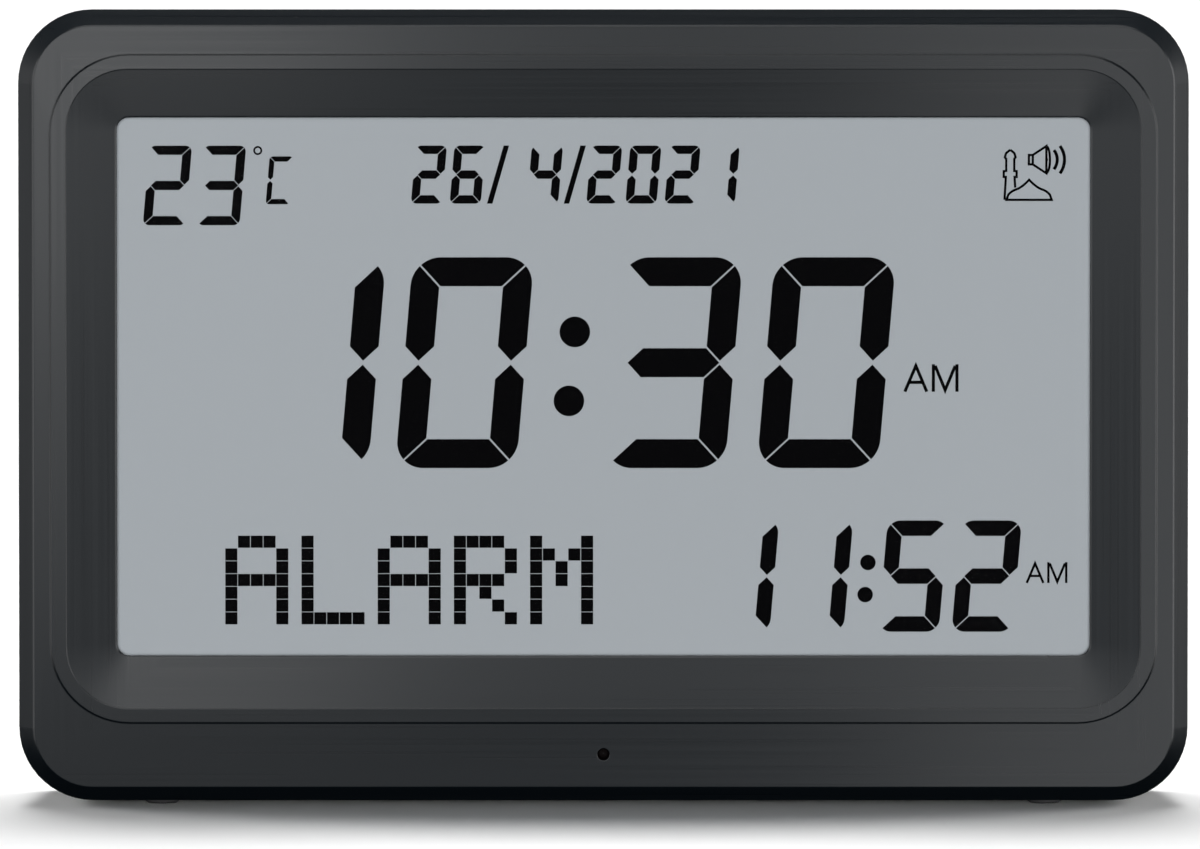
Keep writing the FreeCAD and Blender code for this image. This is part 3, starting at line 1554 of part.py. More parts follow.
def speaker_leads():
    """Two leads from below the magnet to their socket on the main board."""
    socket_x, socket_z, wide, depth = SOCKETS["speaker"]
    entry = socket_x - wide / 2
    level = board_back + depth - s.lead_drop
    low = s.speaker_z - s.magnet_radius - s.lead_radius - s.lead_gap
    start = speaker_front + s.lead_start
    routes = []
    for side in (-1, 1):
        x = s.speaker_x + s.lead_pitch * 1.5 * side
        high = socket_z - s.lead_pitch / 2 * side
        routes.append(
            (
                (x, start, low),
                (x, start, low - s.lead_fall),
                (entry - s.lead_fall * 2 + side, level, high),
                (entry, level, high),
            )
        )
    cable("speaker_leads", routes, s.lead_radius)


def key_ribbon():
    """From the key board's front down to its socket."""
    _, socket_z, wide, depth = SOCKETS["keys"]
    drop = key_board_front - s.ribbon_loop
    start = s.key_height - s.ribbon_loop
    points = (
        (key_board_front, start, 0, 1),
        (drop, start, -1, 1),
        (drop, dim(socket_z), -1, 1),
        (board_back + depth, dim(socket_z), 0, 1),
    )
    ribbon("key_ribbon", wide / 2 - s.ribbon_margin, points)


def sensor_ribbon():
    """From the sensor's board up and over the main board's edge to its socket."""
    _, socket_z, wide, depth = SOCKETS["sensor"]
    start = s.sensor_height + s.sensor_ribbon_rise
    over = board_back + s.sensor_ribbon_loop
    points = (
        (sensor_board_back, start, 0, 1),
        (over, start, -1, 1),
        (over, dim(socket_z), -1, -1),
        (board_back + depth, dim(socket_z), 0, -1),
    )
    ribbon("sensor_ribbon", wide / 2 - s.ribbon_margin, points)


def ribbon(label, half, points):
    """A flat cable seen from the side: each point's last two numbers say where its other face is."""
    thick = s.ribbon_thickness
    near = [(depth, height) for depth, height, _, _ in points]
    far = [(depth + thick * across, height + thick * up) for depth, height, across, up in points]
    made = Piece(label)
    made.pad(dim(-half), dim(half), Loop(*near, *reversed(far)), plane="YZ")


def check(pieces):
    """Stops if any object failed to compute or any sub-part isn't whole."""
    doc.recompute()
    for made in doc.Objects:
        if "Invalid" in made.State or "Error" in made.State:
            raise RuntimeError(f"{made.Label} failed: {made.State}")
    for piece in pieces:
        shape = piece.Shape
        if shape.isNull() or not shape.isValid() or not shape.Solids:
            raise RuntimeError(f"{piece.Label} has no valid solid")


def main():
    front_bezel()
    display_stack()
    board_screws()
    case_screws()
    main_board()
    light_sensor()
    rear_cover()
    buttons()
    key_board()
    selector()
    speaker()
    battery_cells()
    battery_contacts()
    battery_door()
    stand()
    feet()
    cables()
    check(finished)
    os.makedirs("parts", exist_ok=True)
    for piece in finished:
        piece.Shape.exportStep(f"parts/{piece.Label}.step")


main()
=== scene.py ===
import math

import bmesh
import bpy
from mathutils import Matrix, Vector


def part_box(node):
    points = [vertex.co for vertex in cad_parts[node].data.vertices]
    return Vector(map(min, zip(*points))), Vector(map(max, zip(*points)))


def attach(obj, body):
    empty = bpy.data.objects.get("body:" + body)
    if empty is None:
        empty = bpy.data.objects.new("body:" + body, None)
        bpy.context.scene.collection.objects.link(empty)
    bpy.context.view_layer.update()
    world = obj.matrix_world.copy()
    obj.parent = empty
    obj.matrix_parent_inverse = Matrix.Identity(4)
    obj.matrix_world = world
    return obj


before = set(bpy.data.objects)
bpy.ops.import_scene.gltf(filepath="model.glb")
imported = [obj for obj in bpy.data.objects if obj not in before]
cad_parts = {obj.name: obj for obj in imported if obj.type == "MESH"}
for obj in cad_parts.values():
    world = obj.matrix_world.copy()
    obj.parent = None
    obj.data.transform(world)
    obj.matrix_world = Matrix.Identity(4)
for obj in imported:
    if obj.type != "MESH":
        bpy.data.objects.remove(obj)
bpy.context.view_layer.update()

# The looks of a desk and wall prayer-time clock: what the display shows, the finishes of its
# pieces, and a plain studio. The display's places and the finishes' sizes are in millimetres, and
# the studio's are in metres.

MM = 0.001

# What the display shows. Places are measured from the window's lower left corner, whose height
# is the window's own above the case's underside and that of the feet.
WINDOW_WIDTH = 187.0
WINDOW_LOW = 28.3
FOOT_HEIGHT = 0.8
# The film lies deeper than the window's edge, so what it shows is moved and stretched upwards by
# this much to be seen in its place from a little above.
PARALLAX = -0.61
STRETCH = 1.006
# How far a digit leans for its height, and the ink's thickness and distance from the film.
SLANT = 0.086
INK_THICKNESS = 0.04
INK_GAP = 0.05
# The slit between a digit's bars is a share of the stroke and a fixed width. The tips of the
# side bars and the ends of the middle bar keep away by so many slits.
SLIT_SHARE = 0.26 / 5.5
SLIT_FIXED = 0.05
TIP_SLITS = 1.2
BAR_INSET_SLITS = 0.2
# A sharp corner's mitre is cut off at half the line's width divided by this.
SHARPEST_MITRE = 0.35
# Each size of digit: width, height, stroke, and corner radius as a share of the stroke.
TIME_DIGIT = (23.35, 40.46, 5.55, 0.97)
NEXT_DIGIT = (11.7, 21.37, 2.96, 0.85)
TEMPERATURE_DIGIT = (8.19, 15.24, 1.75, 0.72)
UNIT_DIGIT = (4.56, 9.17, 1.0, 0.7)
DATE_DIGIT = (6.0, 11.13, 1.61, 0.72)
# The main time: its base line, each digit's left side, the colon's place and the heights of its
# dots, and the letters beside it: their left side, base line and height.
TIME_SHOWN = "1030"
TIME_BASE = 36.23
TIME_LEFTS = (24.91, 53.38, 93.55, 122.98)
TIME_COLON, TIME_COLON_RADIUS, TIME_COLON_UP = 85.75, 2.94, (12.90, 26.14)
TIME_AM = (151.5, 50.9, 5.27)
# The next prayer's time, in the same way.
NEXT_SHOWN = "1152"
NEXT_BASE = 4.79
NEXT_LEFTS = (113.81, 128.05, 146.37, 160.52)
NEXT_COLON, NEXT_COLON_RADIUS, NEXT_COLON_UP = 143.28, 1.49, (7.13, 13.30)
NEXT_AM = (175.0, 14.15, 4.0)
# The temperature, its degree ring and its small unit.
TEMPERATURE_SHOWN, UNIT_SHOWN = "23", "C"
TEMPERATURE_BASE = 82.84
TEMPERATURE_LEFTS = (4.92, 15.34)
UNIT_PLACE = (28.54, 86.86)
RING_PLACE, RING_RADIUS, RING_STROKE = (27.04, 97.16), 0.69, 0.36
# The date: each lit cell's sign, the base line, and the first cell's left side and the cells'
# pitch for the day with the month and for the year. The tens of the month is blank.
DAY_SHOWN, YEAR_SHOWN = {0: "2", 1: "6", 3: "4"}, "2021"
DATE_BASE = 86.98
DAY_LEFT, DAY_PITCH = 56.47, 7.44
YEAR_LEFT, YEAR_PITCH = 90.18, 7.53
SLASH_LEFTS, SLASH_THICKNESS, SLASH_RUN = (71.1, 85.86), 1.06, 3.22
# The word in square dots: its lower left corner, a dot's side, and the pitch of the dots and of
# the letters.
WORD_SHOWN = "ALARM"
WORD_PLACE = (20.70, 6.2)
DOT_SIDE, DOT_PITCH, LETTER_PITCH = 2.33, 2.453, 14.67
# The light capital letters, as shares of their height or of their stroke.
LETTER_STROKE, LETTER_GAP, LETTER_BAR = 0.117, 0.24, 0.34
LETTER_A_WIDTH, LETTER_M_WIDTH = 0.80, 0.86
LETTER_BAR_INSET, LETTER_PEAK_INSET = 0.4, 0.55
# The pictogram: its corner, its strokes, and the dome, tower, horn and waves in it.
ICON_LEFT, ICON_BASE, ICON_STROKE, WAVE_STROKE = 170.6, 87.7, 0.46, 0.62
DOME_CENTRE, DOME_HALF, DOME_HEIGHT = 4.75, 4.35, 3.85
DOME_BULGE, DOME_POINT, DOME_STEPS = 0.62, 0.38, 24
DOME_ROUNDNESS, DOME_POINT_SPREAD, DOME_POINT_SHARPNESS = 2.2, 1.9, 1.7
TOWER_CENTRE, TOWER_FOOT = 1.12, (0.95, 2.35)
TOWER_HALF_WIDTHS = (1.1, 0.85, 0.85, 1.25, 1.25, 0.78, 0.78, 1.05, 0.8, 0.0)
TOWER_HEIGHTS = (0.0, 4.35, 4.4, 4.4, 5.5, 5.55, 7.85, 8.15, 8.95, 9.6)
TOWER_RIGHT_SHARE = 0.98
HORN_LEFT, HORN_UP, HORN_BACK, HORN_MOUTH = 4.7, 7.7, 0.75, 3.35
HORN_THROAT, HORN_RIM, HORN_SEAM = 0.9, 2.6, 0.75
BELL_DEPTH, BELL_HALF, BELL_END, BELL_STEPS = 0.7, 2.55, 85, 16
PLUG_BACK, PLUG_RADIUS = 0.2, 0.55
WAVES_BACK, WAVES = 0.9, ((3.0, 38), (4.4, 37))

# Which of a digit's seven bars are lit, lettered clockwise from the top with g in the middle.
LIT = {
    "0": "abcdef",
    "1": "bc",
    "2": "abdeg",
    "3": "abcdg",
    "4": "bcfg",
    "5": "acdfg",
    "6": "acdefg",
    "C": "adef",
}
# Each letter of the dot display as seven rows of five dots.
DOTS = {
    "A": ("01110", "10001", "10001", "11111", "10001", "10001", "10001"),
    "L": ("10000", "10000", "10000", "10000", "10000", "10000", "11111"),
    "M": ("10001", "11011", "10101", "10101", "10001", "10001", "10001"),
    "R": ("11110", "10001", "10001", "11110", "10100", "10010", "10001"),
}


def arc(across, up, radius, start, end, steps=8):
    """Points on a circle's arc, with its angles in degrees."""
    turns = [math.radians(start + (end - start) * i / steps) for i in range(steps + 1)]
    return [(across + radius * math.cos(t), up + radius * math.sin(t)) for t in turns]


def mirrored(points, width=None, height=None):
    """The points turned over in a box of that width, height or both."""
    return [
        (x if width is None else width - x, z if height is None else height - z) for x, z in points
    ]


class SevenBar:
    """A slanted seven-bar digit of one size: its bars as outlines."""

    def __init__(self, width, height, stroke, rounding):
        self.height = height
        gap = SLIT_SHARE * stroke + SLIT_FIXED
        radius = stroke * rounding
        slit = gap / math.sqrt(2)
        lean = math.degrees(gap / 2 / radius)
        middle, half, tip = height / 2, stroke / 2, gap * TIP_SLITS
        left, right = radius, width - radius
        top = (
            [(stroke + slit, height - stroke)]
            + arc(left, height - radius, radius, 135 - lean, 90)
            + arc(right, height - radius, radius, 90, 45 + lean)
            + [(width - stroke - slit, height - stroke)]
        )
        side = arc(right, height - radius, radius, 45 - lean, 0) + [
            (width, middle + half + tip),
            (width - half, middle + tip),
            (width - stroke, middle + half + tip),
            (width - stroke, height - stroke - slit),
        ]
        edge = half + gap * BAR_INSET_SLITS
        bar = [
            (edge, middle),
            (edge + half, middle + half),
            (width - edge - half, middle + half),
            (width - edge, middle),
            (width - edge - half, middle - half),
            (edge + half, middle - half),
        ]
        self.bars = {
            "a": top,
            "b": side,
            "c": mirrored(side, height=height),
            "d": mirrored(top, height=height),
            "e": mirrored(side, width, height),
            "f": mirrored(side, width),
            "g": bar,
        }

    def draw(self, sign, left, base):
        """The sign's lit bars, with its lower left corner there."""
        return [
            [(left + x + SLANT * z, base + z) for x, z in self.bars[bar]] for bar in LIT[sign]
        ]


def line(points, width, closed=False):
    """A drawn line as one four-sided outline for each of its runs, mitred where they meet."""
    count = len(points)
    runs = [Vector(points[(i + 1) % count]) - Vector(points[i]) for i in range(count)]
    sides = []
    for i in range(count):
        after = runs[i].normalized() if closed or i < count - 1 else runs[i - 1].normalized()
        before = runs[i - 1].normalized() if closed or i > 0 else after
        across = Vector((-before.y - after.y, before.x + after.x)).normalized()
        reach = width / 2 / max(SHARPEST_MITRE, across.dot(Vector((-after.y, after.x))))
        here = Vector(points[i])
        sides.append((here + across * reach, here - across * reach))
    last = count if closed else count - 1
    outlines = []
    for i in range(last):
        (a, b), (c, d) = sides[i], sides[(i + 1) % count]
        outlines.append([tuple(a), tuple(b), tuple(d), tuple(c)])
    return outlines


def ink(name, outlines):
    """Display ink: thin plates just in front of the grey film, as one piece on the clock."""
    film_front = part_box("front_polariser")[0][1]
    back = film_front - INK_GAP * MM
    front = back - INK_THICKNESS * MM
    left = -WINDOW_WIDTH / 2
    low = WINDOW_LOW + FOOT_HEIGHT + PARALLAX
    mesh = bpy.data.meshes.new(name)
    shape = bmesh.new()
    for outline in outlines:
        places = [((left + x) * MM, (low + z * STRETCH) * MM) for x, z in outline]
        turning = sum(
            x0 * z1 - x1 * z0 for (x0, z0), (x1, z1) in zip(places, places[1:] + places[:1])
        )
        if turning < 0:
            places.reverse()
        near = [shape.verts.new((x, front, z)) for x, z in places]
        far = [shape.verts.new((x, back, z)) for x, z in places]
        shape.faces.new(near)
        shape.faces.new(far[::-1])
        for i in range(len(places)):
            after = (i + 1) % len(places)
            shape.faces.new((near[after], near[i], far[i], far[after]))
    shape.to_mesh(mesh)
    shape.free()
    piece = bpy.data.objects.new(name, mesh)
    bpy.context.scene.collection.objects.link(piece)
    mesh.materials.append(INK)
    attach(piece, "clock")


def disc(across, up, radius, steps=40):
    """Points round a whole circle."""
    return arc(across, up, radius, 0, 360 - 360 / steps, steps - 1)


def letters_am(left, base, height):
    """The letters AM in a light face of that height."""
    stroke = LETTER_STROKE * height
    wide = LETTER_A_WIDTH * height
    foot = stroke / 2
    peak = height - foot
    bar = LETTER_BAR * height
    inset = wide * bar / height / 2 + stroke * LETTER_BAR_INSET
    letter_m = left + wide + LETTER_GAP * height
    last = letter_m + LETTER_M_WIDTH * height
    outlines = line([(left, base), (left + wide / 2, base + peak), (left + wide, base)], stroke)
    outlines += line([(left + inset, base + bar), (left + wide - inset, base + bar)], stroke)
    outlines += line([(letter_m, base), (letter_m, base + height)], stroke)
    outlines += line([(last, base), (last, base + height)], stroke)
    middle = (letter_m + last) / 2
    near = stroke * LETTER_PEAK_INSET
    shoulder = base + height - foot
    valley = [(letter_m + near, shoulder), (middle, base + foot), (last - near, shoulder)]
    outlines += line(valley, stroke)
    return outlines


def clock_time(signs, size, base, lefts, colon, colon_radius, colon_up):
    """Four digits with a colon between the hours and the minutes."""
    digit = SevenBar(*size)
    outlines = []
    for sign, left in zip(signs, lefts):
        outlines += digit.draw(sign, left, base)
    for up in colon_up:
        outlines.append(disc(colon + SLANT * up, base + up, colon_radius))
    return outlines


def show_time():
    """The main time, in the largest digits, with its colon and its AM."""
    colon = (TIME_COLON, TIME_COLON_RADIUS, TIME_COLON_UP)
    ink("display_time", clock_time(TIME_SHOWN, TIME_DIGIT, TIME_BASE, TIME_LEFTS, *colon))
    ink("display_time_am", letters_am(*TIME_AM))


def show_temperature():
    digit = SevenBar(*TEMPERATURE_DIGIT)
    outlines = []
    for sign, left in zip(TEMPERATURE_SHOWN, TEMPERATURE_LEFTS):
        outlines += digit.draw(sign, left, TEMPERATURE_BASE)
    outlines += SevenBar(*UNIT_DIGIT).draw(UNIT_SHOWN, *UNIT_PLACE)
    outlines += line(disc(*RING_PLACE, RING_RADIUS), RING_STROKE, closed=True)
    ink("display_temperature", outlines)


def show_date():
    """Day, month and year with two slashes."""
    digit = SevenBar(*DATE_DIGIT)
    outlines = []
    for cell, sign in DAY_SHOWN.items():
        outlines += digit.draw(sign, DAY_LEFT + DAY_PITCH * cell, DATE_BASE)
    for cell, sign in enumerate(YEAR_SHOWN):
        outlines += digit.draw(sign, YEAR_LEFT + YEAR_PITCH * cell, DATE_BASE)
    top = DATE_BASE + digit.height
    for left in SLASH_LEFTS:
        right = left + SLASH_THICKNESS
        ends = [(right + SLASH_RUN, top), (left + SLASH_RUN, top)]
        outlines.append([(left, DATE_BASE), (right, DATE_BASE), *ends])
    ink("display_date", outlines)


def show_word():
    """The word in square dots, five across and seven up for each letter."""
    left, base = WORD_PLACE
    outlines = []
    for place, letter in enumerate(WORD_SHOWN):
        for row, dots in enumerate(DOTS[letter]):
            for column, lit in enumerate(dots):
                if lit == "0":
                    continue
                x = left + LETTER_PITCH * place + DOT_PITCH * column
                z = base + DOT_PITCH * (len(DOTS[letter]) - 1 - row)
                right, top = x + DOT_SIDE, z + DOT_SIDE
                outlines.append([(x, z), (right, z), (right, top), (x, top)])
    ink("display_word", outlines)


def show_next_time():
    colon = (NEXT_COLON, NEXT_COLON_RADIUS, NEXT_COLON_UP)
    ink("display_next_time", clock_time(NEXT_SHOWN, NEXT_DIGIT, NEXT_BASE, NEXT_LEFTS, *colon))
    ink("display_next_time_am", letters_am(*NEXT_AM))


def show_icon():
    """A small pictogram: a dome beside a slim tower, and a loudspeaker horn with two waves."""
    ink("display_icon", dome() + tower() + horn())


def dome():
    rise = []
    for i in range(DOME_STEPS + 1):
        along = -1 + 2 * i / DOME_STEPS
        away = abs(along)
        bulge = DOME_BULGE * math.sqrt(max(0.0, 1 - away ** DOME_ROUNDNESS))
        point = DOME_POINT * max(0.0, 1 - away * DOME_POINT_SPREAD) ** DOME_POINT_SHARPNESS
        up = ICON_BASE + DOME_HEIGHT * (bulge + point)
        rise.append((ICON_LEFT + DOME_CENTRE + DOME_HALF * along, up))
    return line(rise, ICON_STROKE, closed=True)


def tower():
    """The tower's two flanks: the right one starts above the dome."""
    centre = ICON_LEFT + TOWER_CENTRE
    flank = list(zip(TOWER_HALF_WIDTHS, TOWER_HEIGHTS))
    left = [(centre - x, ICON_BASE + z) for x, z in flank]
    foot, foot_up = TOWER_FOOT
    right = [(centre + x * TOWER_RIGHT_SHARE, ICON_BASE + z) for x, z in flank[2:]]
    right.insert(0, (centre + foot, ICON_BASE + foot_up))
    return line(left, ICON_STROKE) + line(right, ICON_STROKE)


def horn():
    left, middle = ICON_LEFT + HORN_LEFT, ICON_BASE + HORN_UP
    back, mouth = left + HORN_BACK, left + HORN_MOUTH
    lower = [(left, -HORN_THROAT), (back, -HORN_THROAT), (mouth, -HORN_RIM)]
    upper = [(mouth, HORN_RIM), (back, HORN_THROAT), (left, HORN_THROAT)]
    shell = [(x, middle + up) for x, up in lower + upper]
    outlines = line(shell, ICON_STROKE, closed=True)
    outlines += line([(back, middle - HORN_SEAM), (back, middle + HORN_SEAM)], ICON_STROKE)
    round_bell = arc(0, 0, 1, -BELL_END, BELL_END, BELL_STEPS)
    bell = [(mouth + BELL_DEPTH * x, middle + BELL_HALF * z) for x, z in round_bell]
    outlines += line(bell, ICON_STROKE)
    outlines.append(arc(mouth - PLUG_BACK, middle, PLUG_RADIUS, -90, 90))
    for reach, spread in WAVES:
        outlines += line(arc(mouth - WAVES_BACK, middle, reach, -spread, spread), WAVE_STROKE)
    return outlines


def material(name, colour, roughness, metallic=0.0, specular=0.5, alpha=1.0):
    """A Principled surface in one colour."""
    made = bpy.data.materials.new(name)
    made.use_nodes = True
    shader = made.node_tree.nodes["Principled BSDF"]
    shader.inputs["Base Color"].default_value = (*colour, 1)
    shader.inputs["Roughness"].default_value = roughness
    shader.inputs["Metallic"].default_value = metallic
    shader.inputs["Specular IOR Level"].default_value = specular
    shader.inputs["Alpha"].default_value = alpha
    return made


def add(tree, kind, inputs):
    """A new node of that kind. Each input takes a plain value or another node's output."""
    node = tree.nodes.new("ShaderNode" + kind)
    for name, value in inputs.items():
        if isinstance(value, bpy.types.NodeSocket):
            tree.links.new(value, node.inputs[name])
        else:
            node.inputs[name].default_value = value
    return node


def opened(made):
    """A material's node tree, its shader, and the model's coordinates as an output."""
    tree = made.node_tree
    where = add(tree, "TexCoord", {})
    return tree, tree.nodes["Principled BSDF"], where.outputs["Object"]


def emboss(tree, shader, pattern, strength, depth):
    """Raises the surface with a pattern, to that depth in millimetres."""
    bump = add(tree, "Bump", {"Strength": strength, "Distance": depth * MM, "Height": pattern})
    tree.links.new(bump.outputs["Normal"], shader.inputs["Normal"])


def vary_gloss(tree, shader, pattern, amount, low=0.0, high=1.0):
    """Moves the roughness up and down by that amount while a pattern runs from low to high."""
    rough = shader.inputs["Roughness"].default_value
    source = {"Value": pattern, "From Min": low, "From Max": high}
    spread = add(tree, "MapRange", {**source, "To Min": rough - amount, "To Max": rough + amount})
    tree.links.new(spread.outputs["Result"], shader.inputs["Roughness"])


def grain(made, size, depth, variation, shade=0.0):
    """Adds fine moulded grain: a bump, and a little change of roughness and perhaps of shade."""
    tree, shader, where = opened(made)
    noise = {"Scale": 1 / (size * MM), "Detail": GRAIN_DETAIL, "Vector": where}
    pattern = add(tree, "TexNoise", noise).outputs["Fac"]
    emboss(tree, shader, pattern, GRAIN_STRENGTH, depth)
    vary_gloss(tree, shader, pattern, variation)
    if shade:
        colour = shader.inputs["Base Color"].default_value
        darker, lighter = ([part * (1 + way * shade) for part in colour[:3]] for way in (-1, 1))
        tree.links.new(blend(tree, pattern, darker, lighter), shader.inputs["Base Color"])
    return made


def blend(tree, share, first, second):
    """A colour between two, each of them a plain colour or another node's."""
    mix = tree.nodes.new("ShaderNodeMix")
    mix.data_type = "RGBA"
    tree.links.new(share, mix.inputs["Factor"])
    for colour, name in ((first, "A"), (second, "B")):
        socket = [s for s in mix.inputs if s.name == name and s.type == "RGBA"][0]
        if isinstance(colour, (list, tuple)):
            socket.default_value = (*colour, 1)
        else:
            tree.links.new(colour, socket)
    return [s for s in mix.outputs if s.type == "RGBA"][0]


def calculate(tree, kind, first, second=None):
    """One step of arithmetic on a node's output, with a number or another node's output."""
    step = tree.nodes.new("ShaderNodeMath")
    step.operation = kind
    tree.links.new(first, step.inputs[0])
    if isinstance(second, float):
        step.inputs[1].default_value = second
    elif second is not None:
        tree.links.new(second, step.inputs[1])
    return step.outputs["Value"]


def within(tree, value, centre, half):
    """One where the value is no further than that from the centre."""
    away = calculate(tree, "ABSOLUTE", calculate(tree, "SUBTRACT", value, centre))
    return calculate(tree, "LESS_THAN", away, half)


def cell_label(name, way):
    """A plain printed cell: steel ends, a dark sleeve, a pale band and signs at its two ends."""
    made = material("sleeve_" + name, CELL_DARK, SLEEVE_ROUGHNESS)
    tree, shader, where = opened(made)
    low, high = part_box("battery_" + name)
    middle = [(a + b) / 2 for a, b in zip(low, high)]
    half = (high[0] - low[0]) / 2
    parts = add(tree, "SeparateXYZ", {"Vector": where})
    along, up = parts.outputs["X"], parts.outputs["Z"]
    plus_x = middle[0] + way * half * BAND_PLACE
    minus_x = middle[0] - way * half * MINUS_PLACE
    thin, long = SIGN_THIN * MM, SIGN_LONG * MM
    band = within(tree, along, plus_x, half * BAND_HALF)
    colour = blend(tree, band, CELL_DARK, CELL_PALE)
    for x, sign_colour in ((plus_x, CELL_DARK), (minus_x, CELL_PALE)):
        wide = within(tree, along, x, thin)
        tall = within(tree, up, middle[2], long)
        upright = calculate(tree, "MULTIPLY", wide, tall)
        colour = blend(tree, upright, colour, sign_colour)
    flat = within(tree, along, plus_x, long)
    low_bar = within(tree, up, middle[2], thin)
    cross = calculate(tree, "MULTIPLY", flat, low_bar)
    colour = blend(tree, cross, colour, CELL_DARK)
    sleeve_x = middle[0] - way * SLEEVE_SHIFT * MM
    sleeved = within(tree, along, sleeve_x, half - SLEEVE_SHORT * MM)
    colour = blend(tree, sleeved, CELL_STEEL, colour)
    tree.links.new(colour, shader.inputs["Base Color"])
    bare = calculate(tree, "LESS_THAN", sleeved, 0.5)
    tree.links.new(bare, shader.inputs["Metallic"])
    dress(made, "battery_" + name)


def circuit(made):
    """Copper tracks under a board's green coat, as a fine pattern of joined lines."""
    tree, shader, where = opened(made)
    upright = (math.radians(90), 0, 0)
    lay = add(tree, "Mapping", {"Vector": where, "Rotation": upright}).outputs["Vector"]
    lines = {"Vector": lay, "Scale": TRACK_SCALE, "Mortar Size": TRACK_WIDTH}
    tracks = add(tree, "TexBrick", lines)
    tracks.offset, tracks.offset_frequency = TRACK_OFFSET
    tracks.squash, tracks.squash_frequency = TRACK_SQUASH
    base = tuple(shader.inputs["Base Color"].default_value[:3])
    colour = blend(tree, tracks.outputs["Fac"], base, TRACK_COLOUR)
    tree.links.new(colour, shader.inputs["Base Color"])


def dress(made, *nodes):
    """Gives CAD nodes a material."""
    for name in nodes:
        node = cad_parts[name]
        node.data.materials.clear()
        node.data.materials.append(made)


def brushed(made):
    """Very fine lines along each side of a frame, which change the gloss a little."""
    tree, shader, where = opened(made)
    streaks = []
    for closeness in (BRUSH_LINES, BRUSH_LINES[::-1]):
        lay = add(tree, "Mapping", {"Vector": where, "Scale": closeness}).outputs["Vector"]
        noise = {"Vector": lay, "Scale": 1, "Detail": BRUSH_DETAIL}
        streaks.append(add(tree, "TexNoise", noise).outputs["Fac"])
    sides = {"Factor": beside(tree, where), "A": streaks[0], "B": streaks[1]}
    pattern = add(tree, "Mix", sides).outputs["Result"]
    vary_gloss(tree, shader, pattern, BRUSH_VARIATION, *BRUSH_SPAN)
    emboss(tree, shader, pattern, BRUSH_STRENGTH, BRUSH_DEPTH)
    return made


def beside(tree, where):
    """One at the frame's left and right sides and zero above and below, mitred at the corners."""
    low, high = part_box("front_bezel")
    parts = add(tree, "SeparateXYZ", {"Vector": where})
    across = calculate(tree, "ABSOLUTE", parts.outputs["X"])
    centred = calculate(tree, "SUBTRACT", parts.outputs["Z"], (low[2] + high[2]) / 2)
    up = calculate(tree, "ABSOLUTE", centred)
    ahead = calculate(tree, "SUBTRACT", across, up)
    corner = (high[0] - low[0] - high[2] + low[2]) / 2
    return calculate(tree, "GREATER_THAN", ahead, corner)


def rounded(made, radius):
    """Shades an embossed surface's sharp edges as if they had that radius in millimetres."""
    tree = made.node_tree
    edge = add(tree, "Bevel", {"Radius": radius * MM})
    edge.samples = BEVEL_RAYS
    bump = next(node for node in tree.nodes if node.bl_idname == "ShaderNodeBump")
    tree.links.new(edge.outputs["Normal"], bump.inputs["Normal"])
    return made


# The grain: its detail and the strength of its bump.
GRAIN_DETAIL, GRAIN_STRENGTH = 3, 0.5
# The brushed frame: how close its lines are in each direction, and how far they show.
BRUSH_LINES, BRUSH_DETAIL = (8, 200, 2600), 2
BRUSH_VARIATION, BRUSH_SPAN = 0.05, (0.3, 0.7)
BRUSH_STRENGTH, BRUSH_DEPTH = 0.35, 0.004
BEZEL_COLOUR, BEZEL_ROUGHNESS = (0.002, 0.004, 0.006), 0.32
BEZEL_EDGE, BEVEL_RAYS = 0.3, 8
# The boards' tracks: scale, width, colour, and how far and how often their joints step aside.
TRACK_SCALE, TRACK_WIDTH, TRACK_COLOUR = 110, 0.035, (0.05, 0.24, 0.11)
TRACK_OFFSET, TRACK_SQUASH = (0.37, 3), (0.6, 2)
# The cells: colours, and the pale band and the minus sign as shares of the half length.
CELL_DARK, CELL_PALE, CELL_STEEL = (0.03, 0.07, 0.16), (0.62, 0.60, 0.55), (0.60, 0.60, 0.60)
BAND_PLACE, BAND_HALF, MINUS_PLACE = 0.66, 0.26, 0.72
# Half a sign's thickness and length, and how far the sleeve is shifted and shortened.
SIGN_THIN, SIGN_LONG = 0.35, 1.7
SLEEVE_SHIFT, SLEEVE_SHORT, SLEEVE_ROUGHNESS = 0.5, 1.3, 0.3
# Which way each cell's plus end points: 1 to the right, -1 to the left.
CELLS = {"upper": 1, "middle": -1, "lower": 1}
BUTTONS = ("mode", "set", "up", "down", "play", "light")
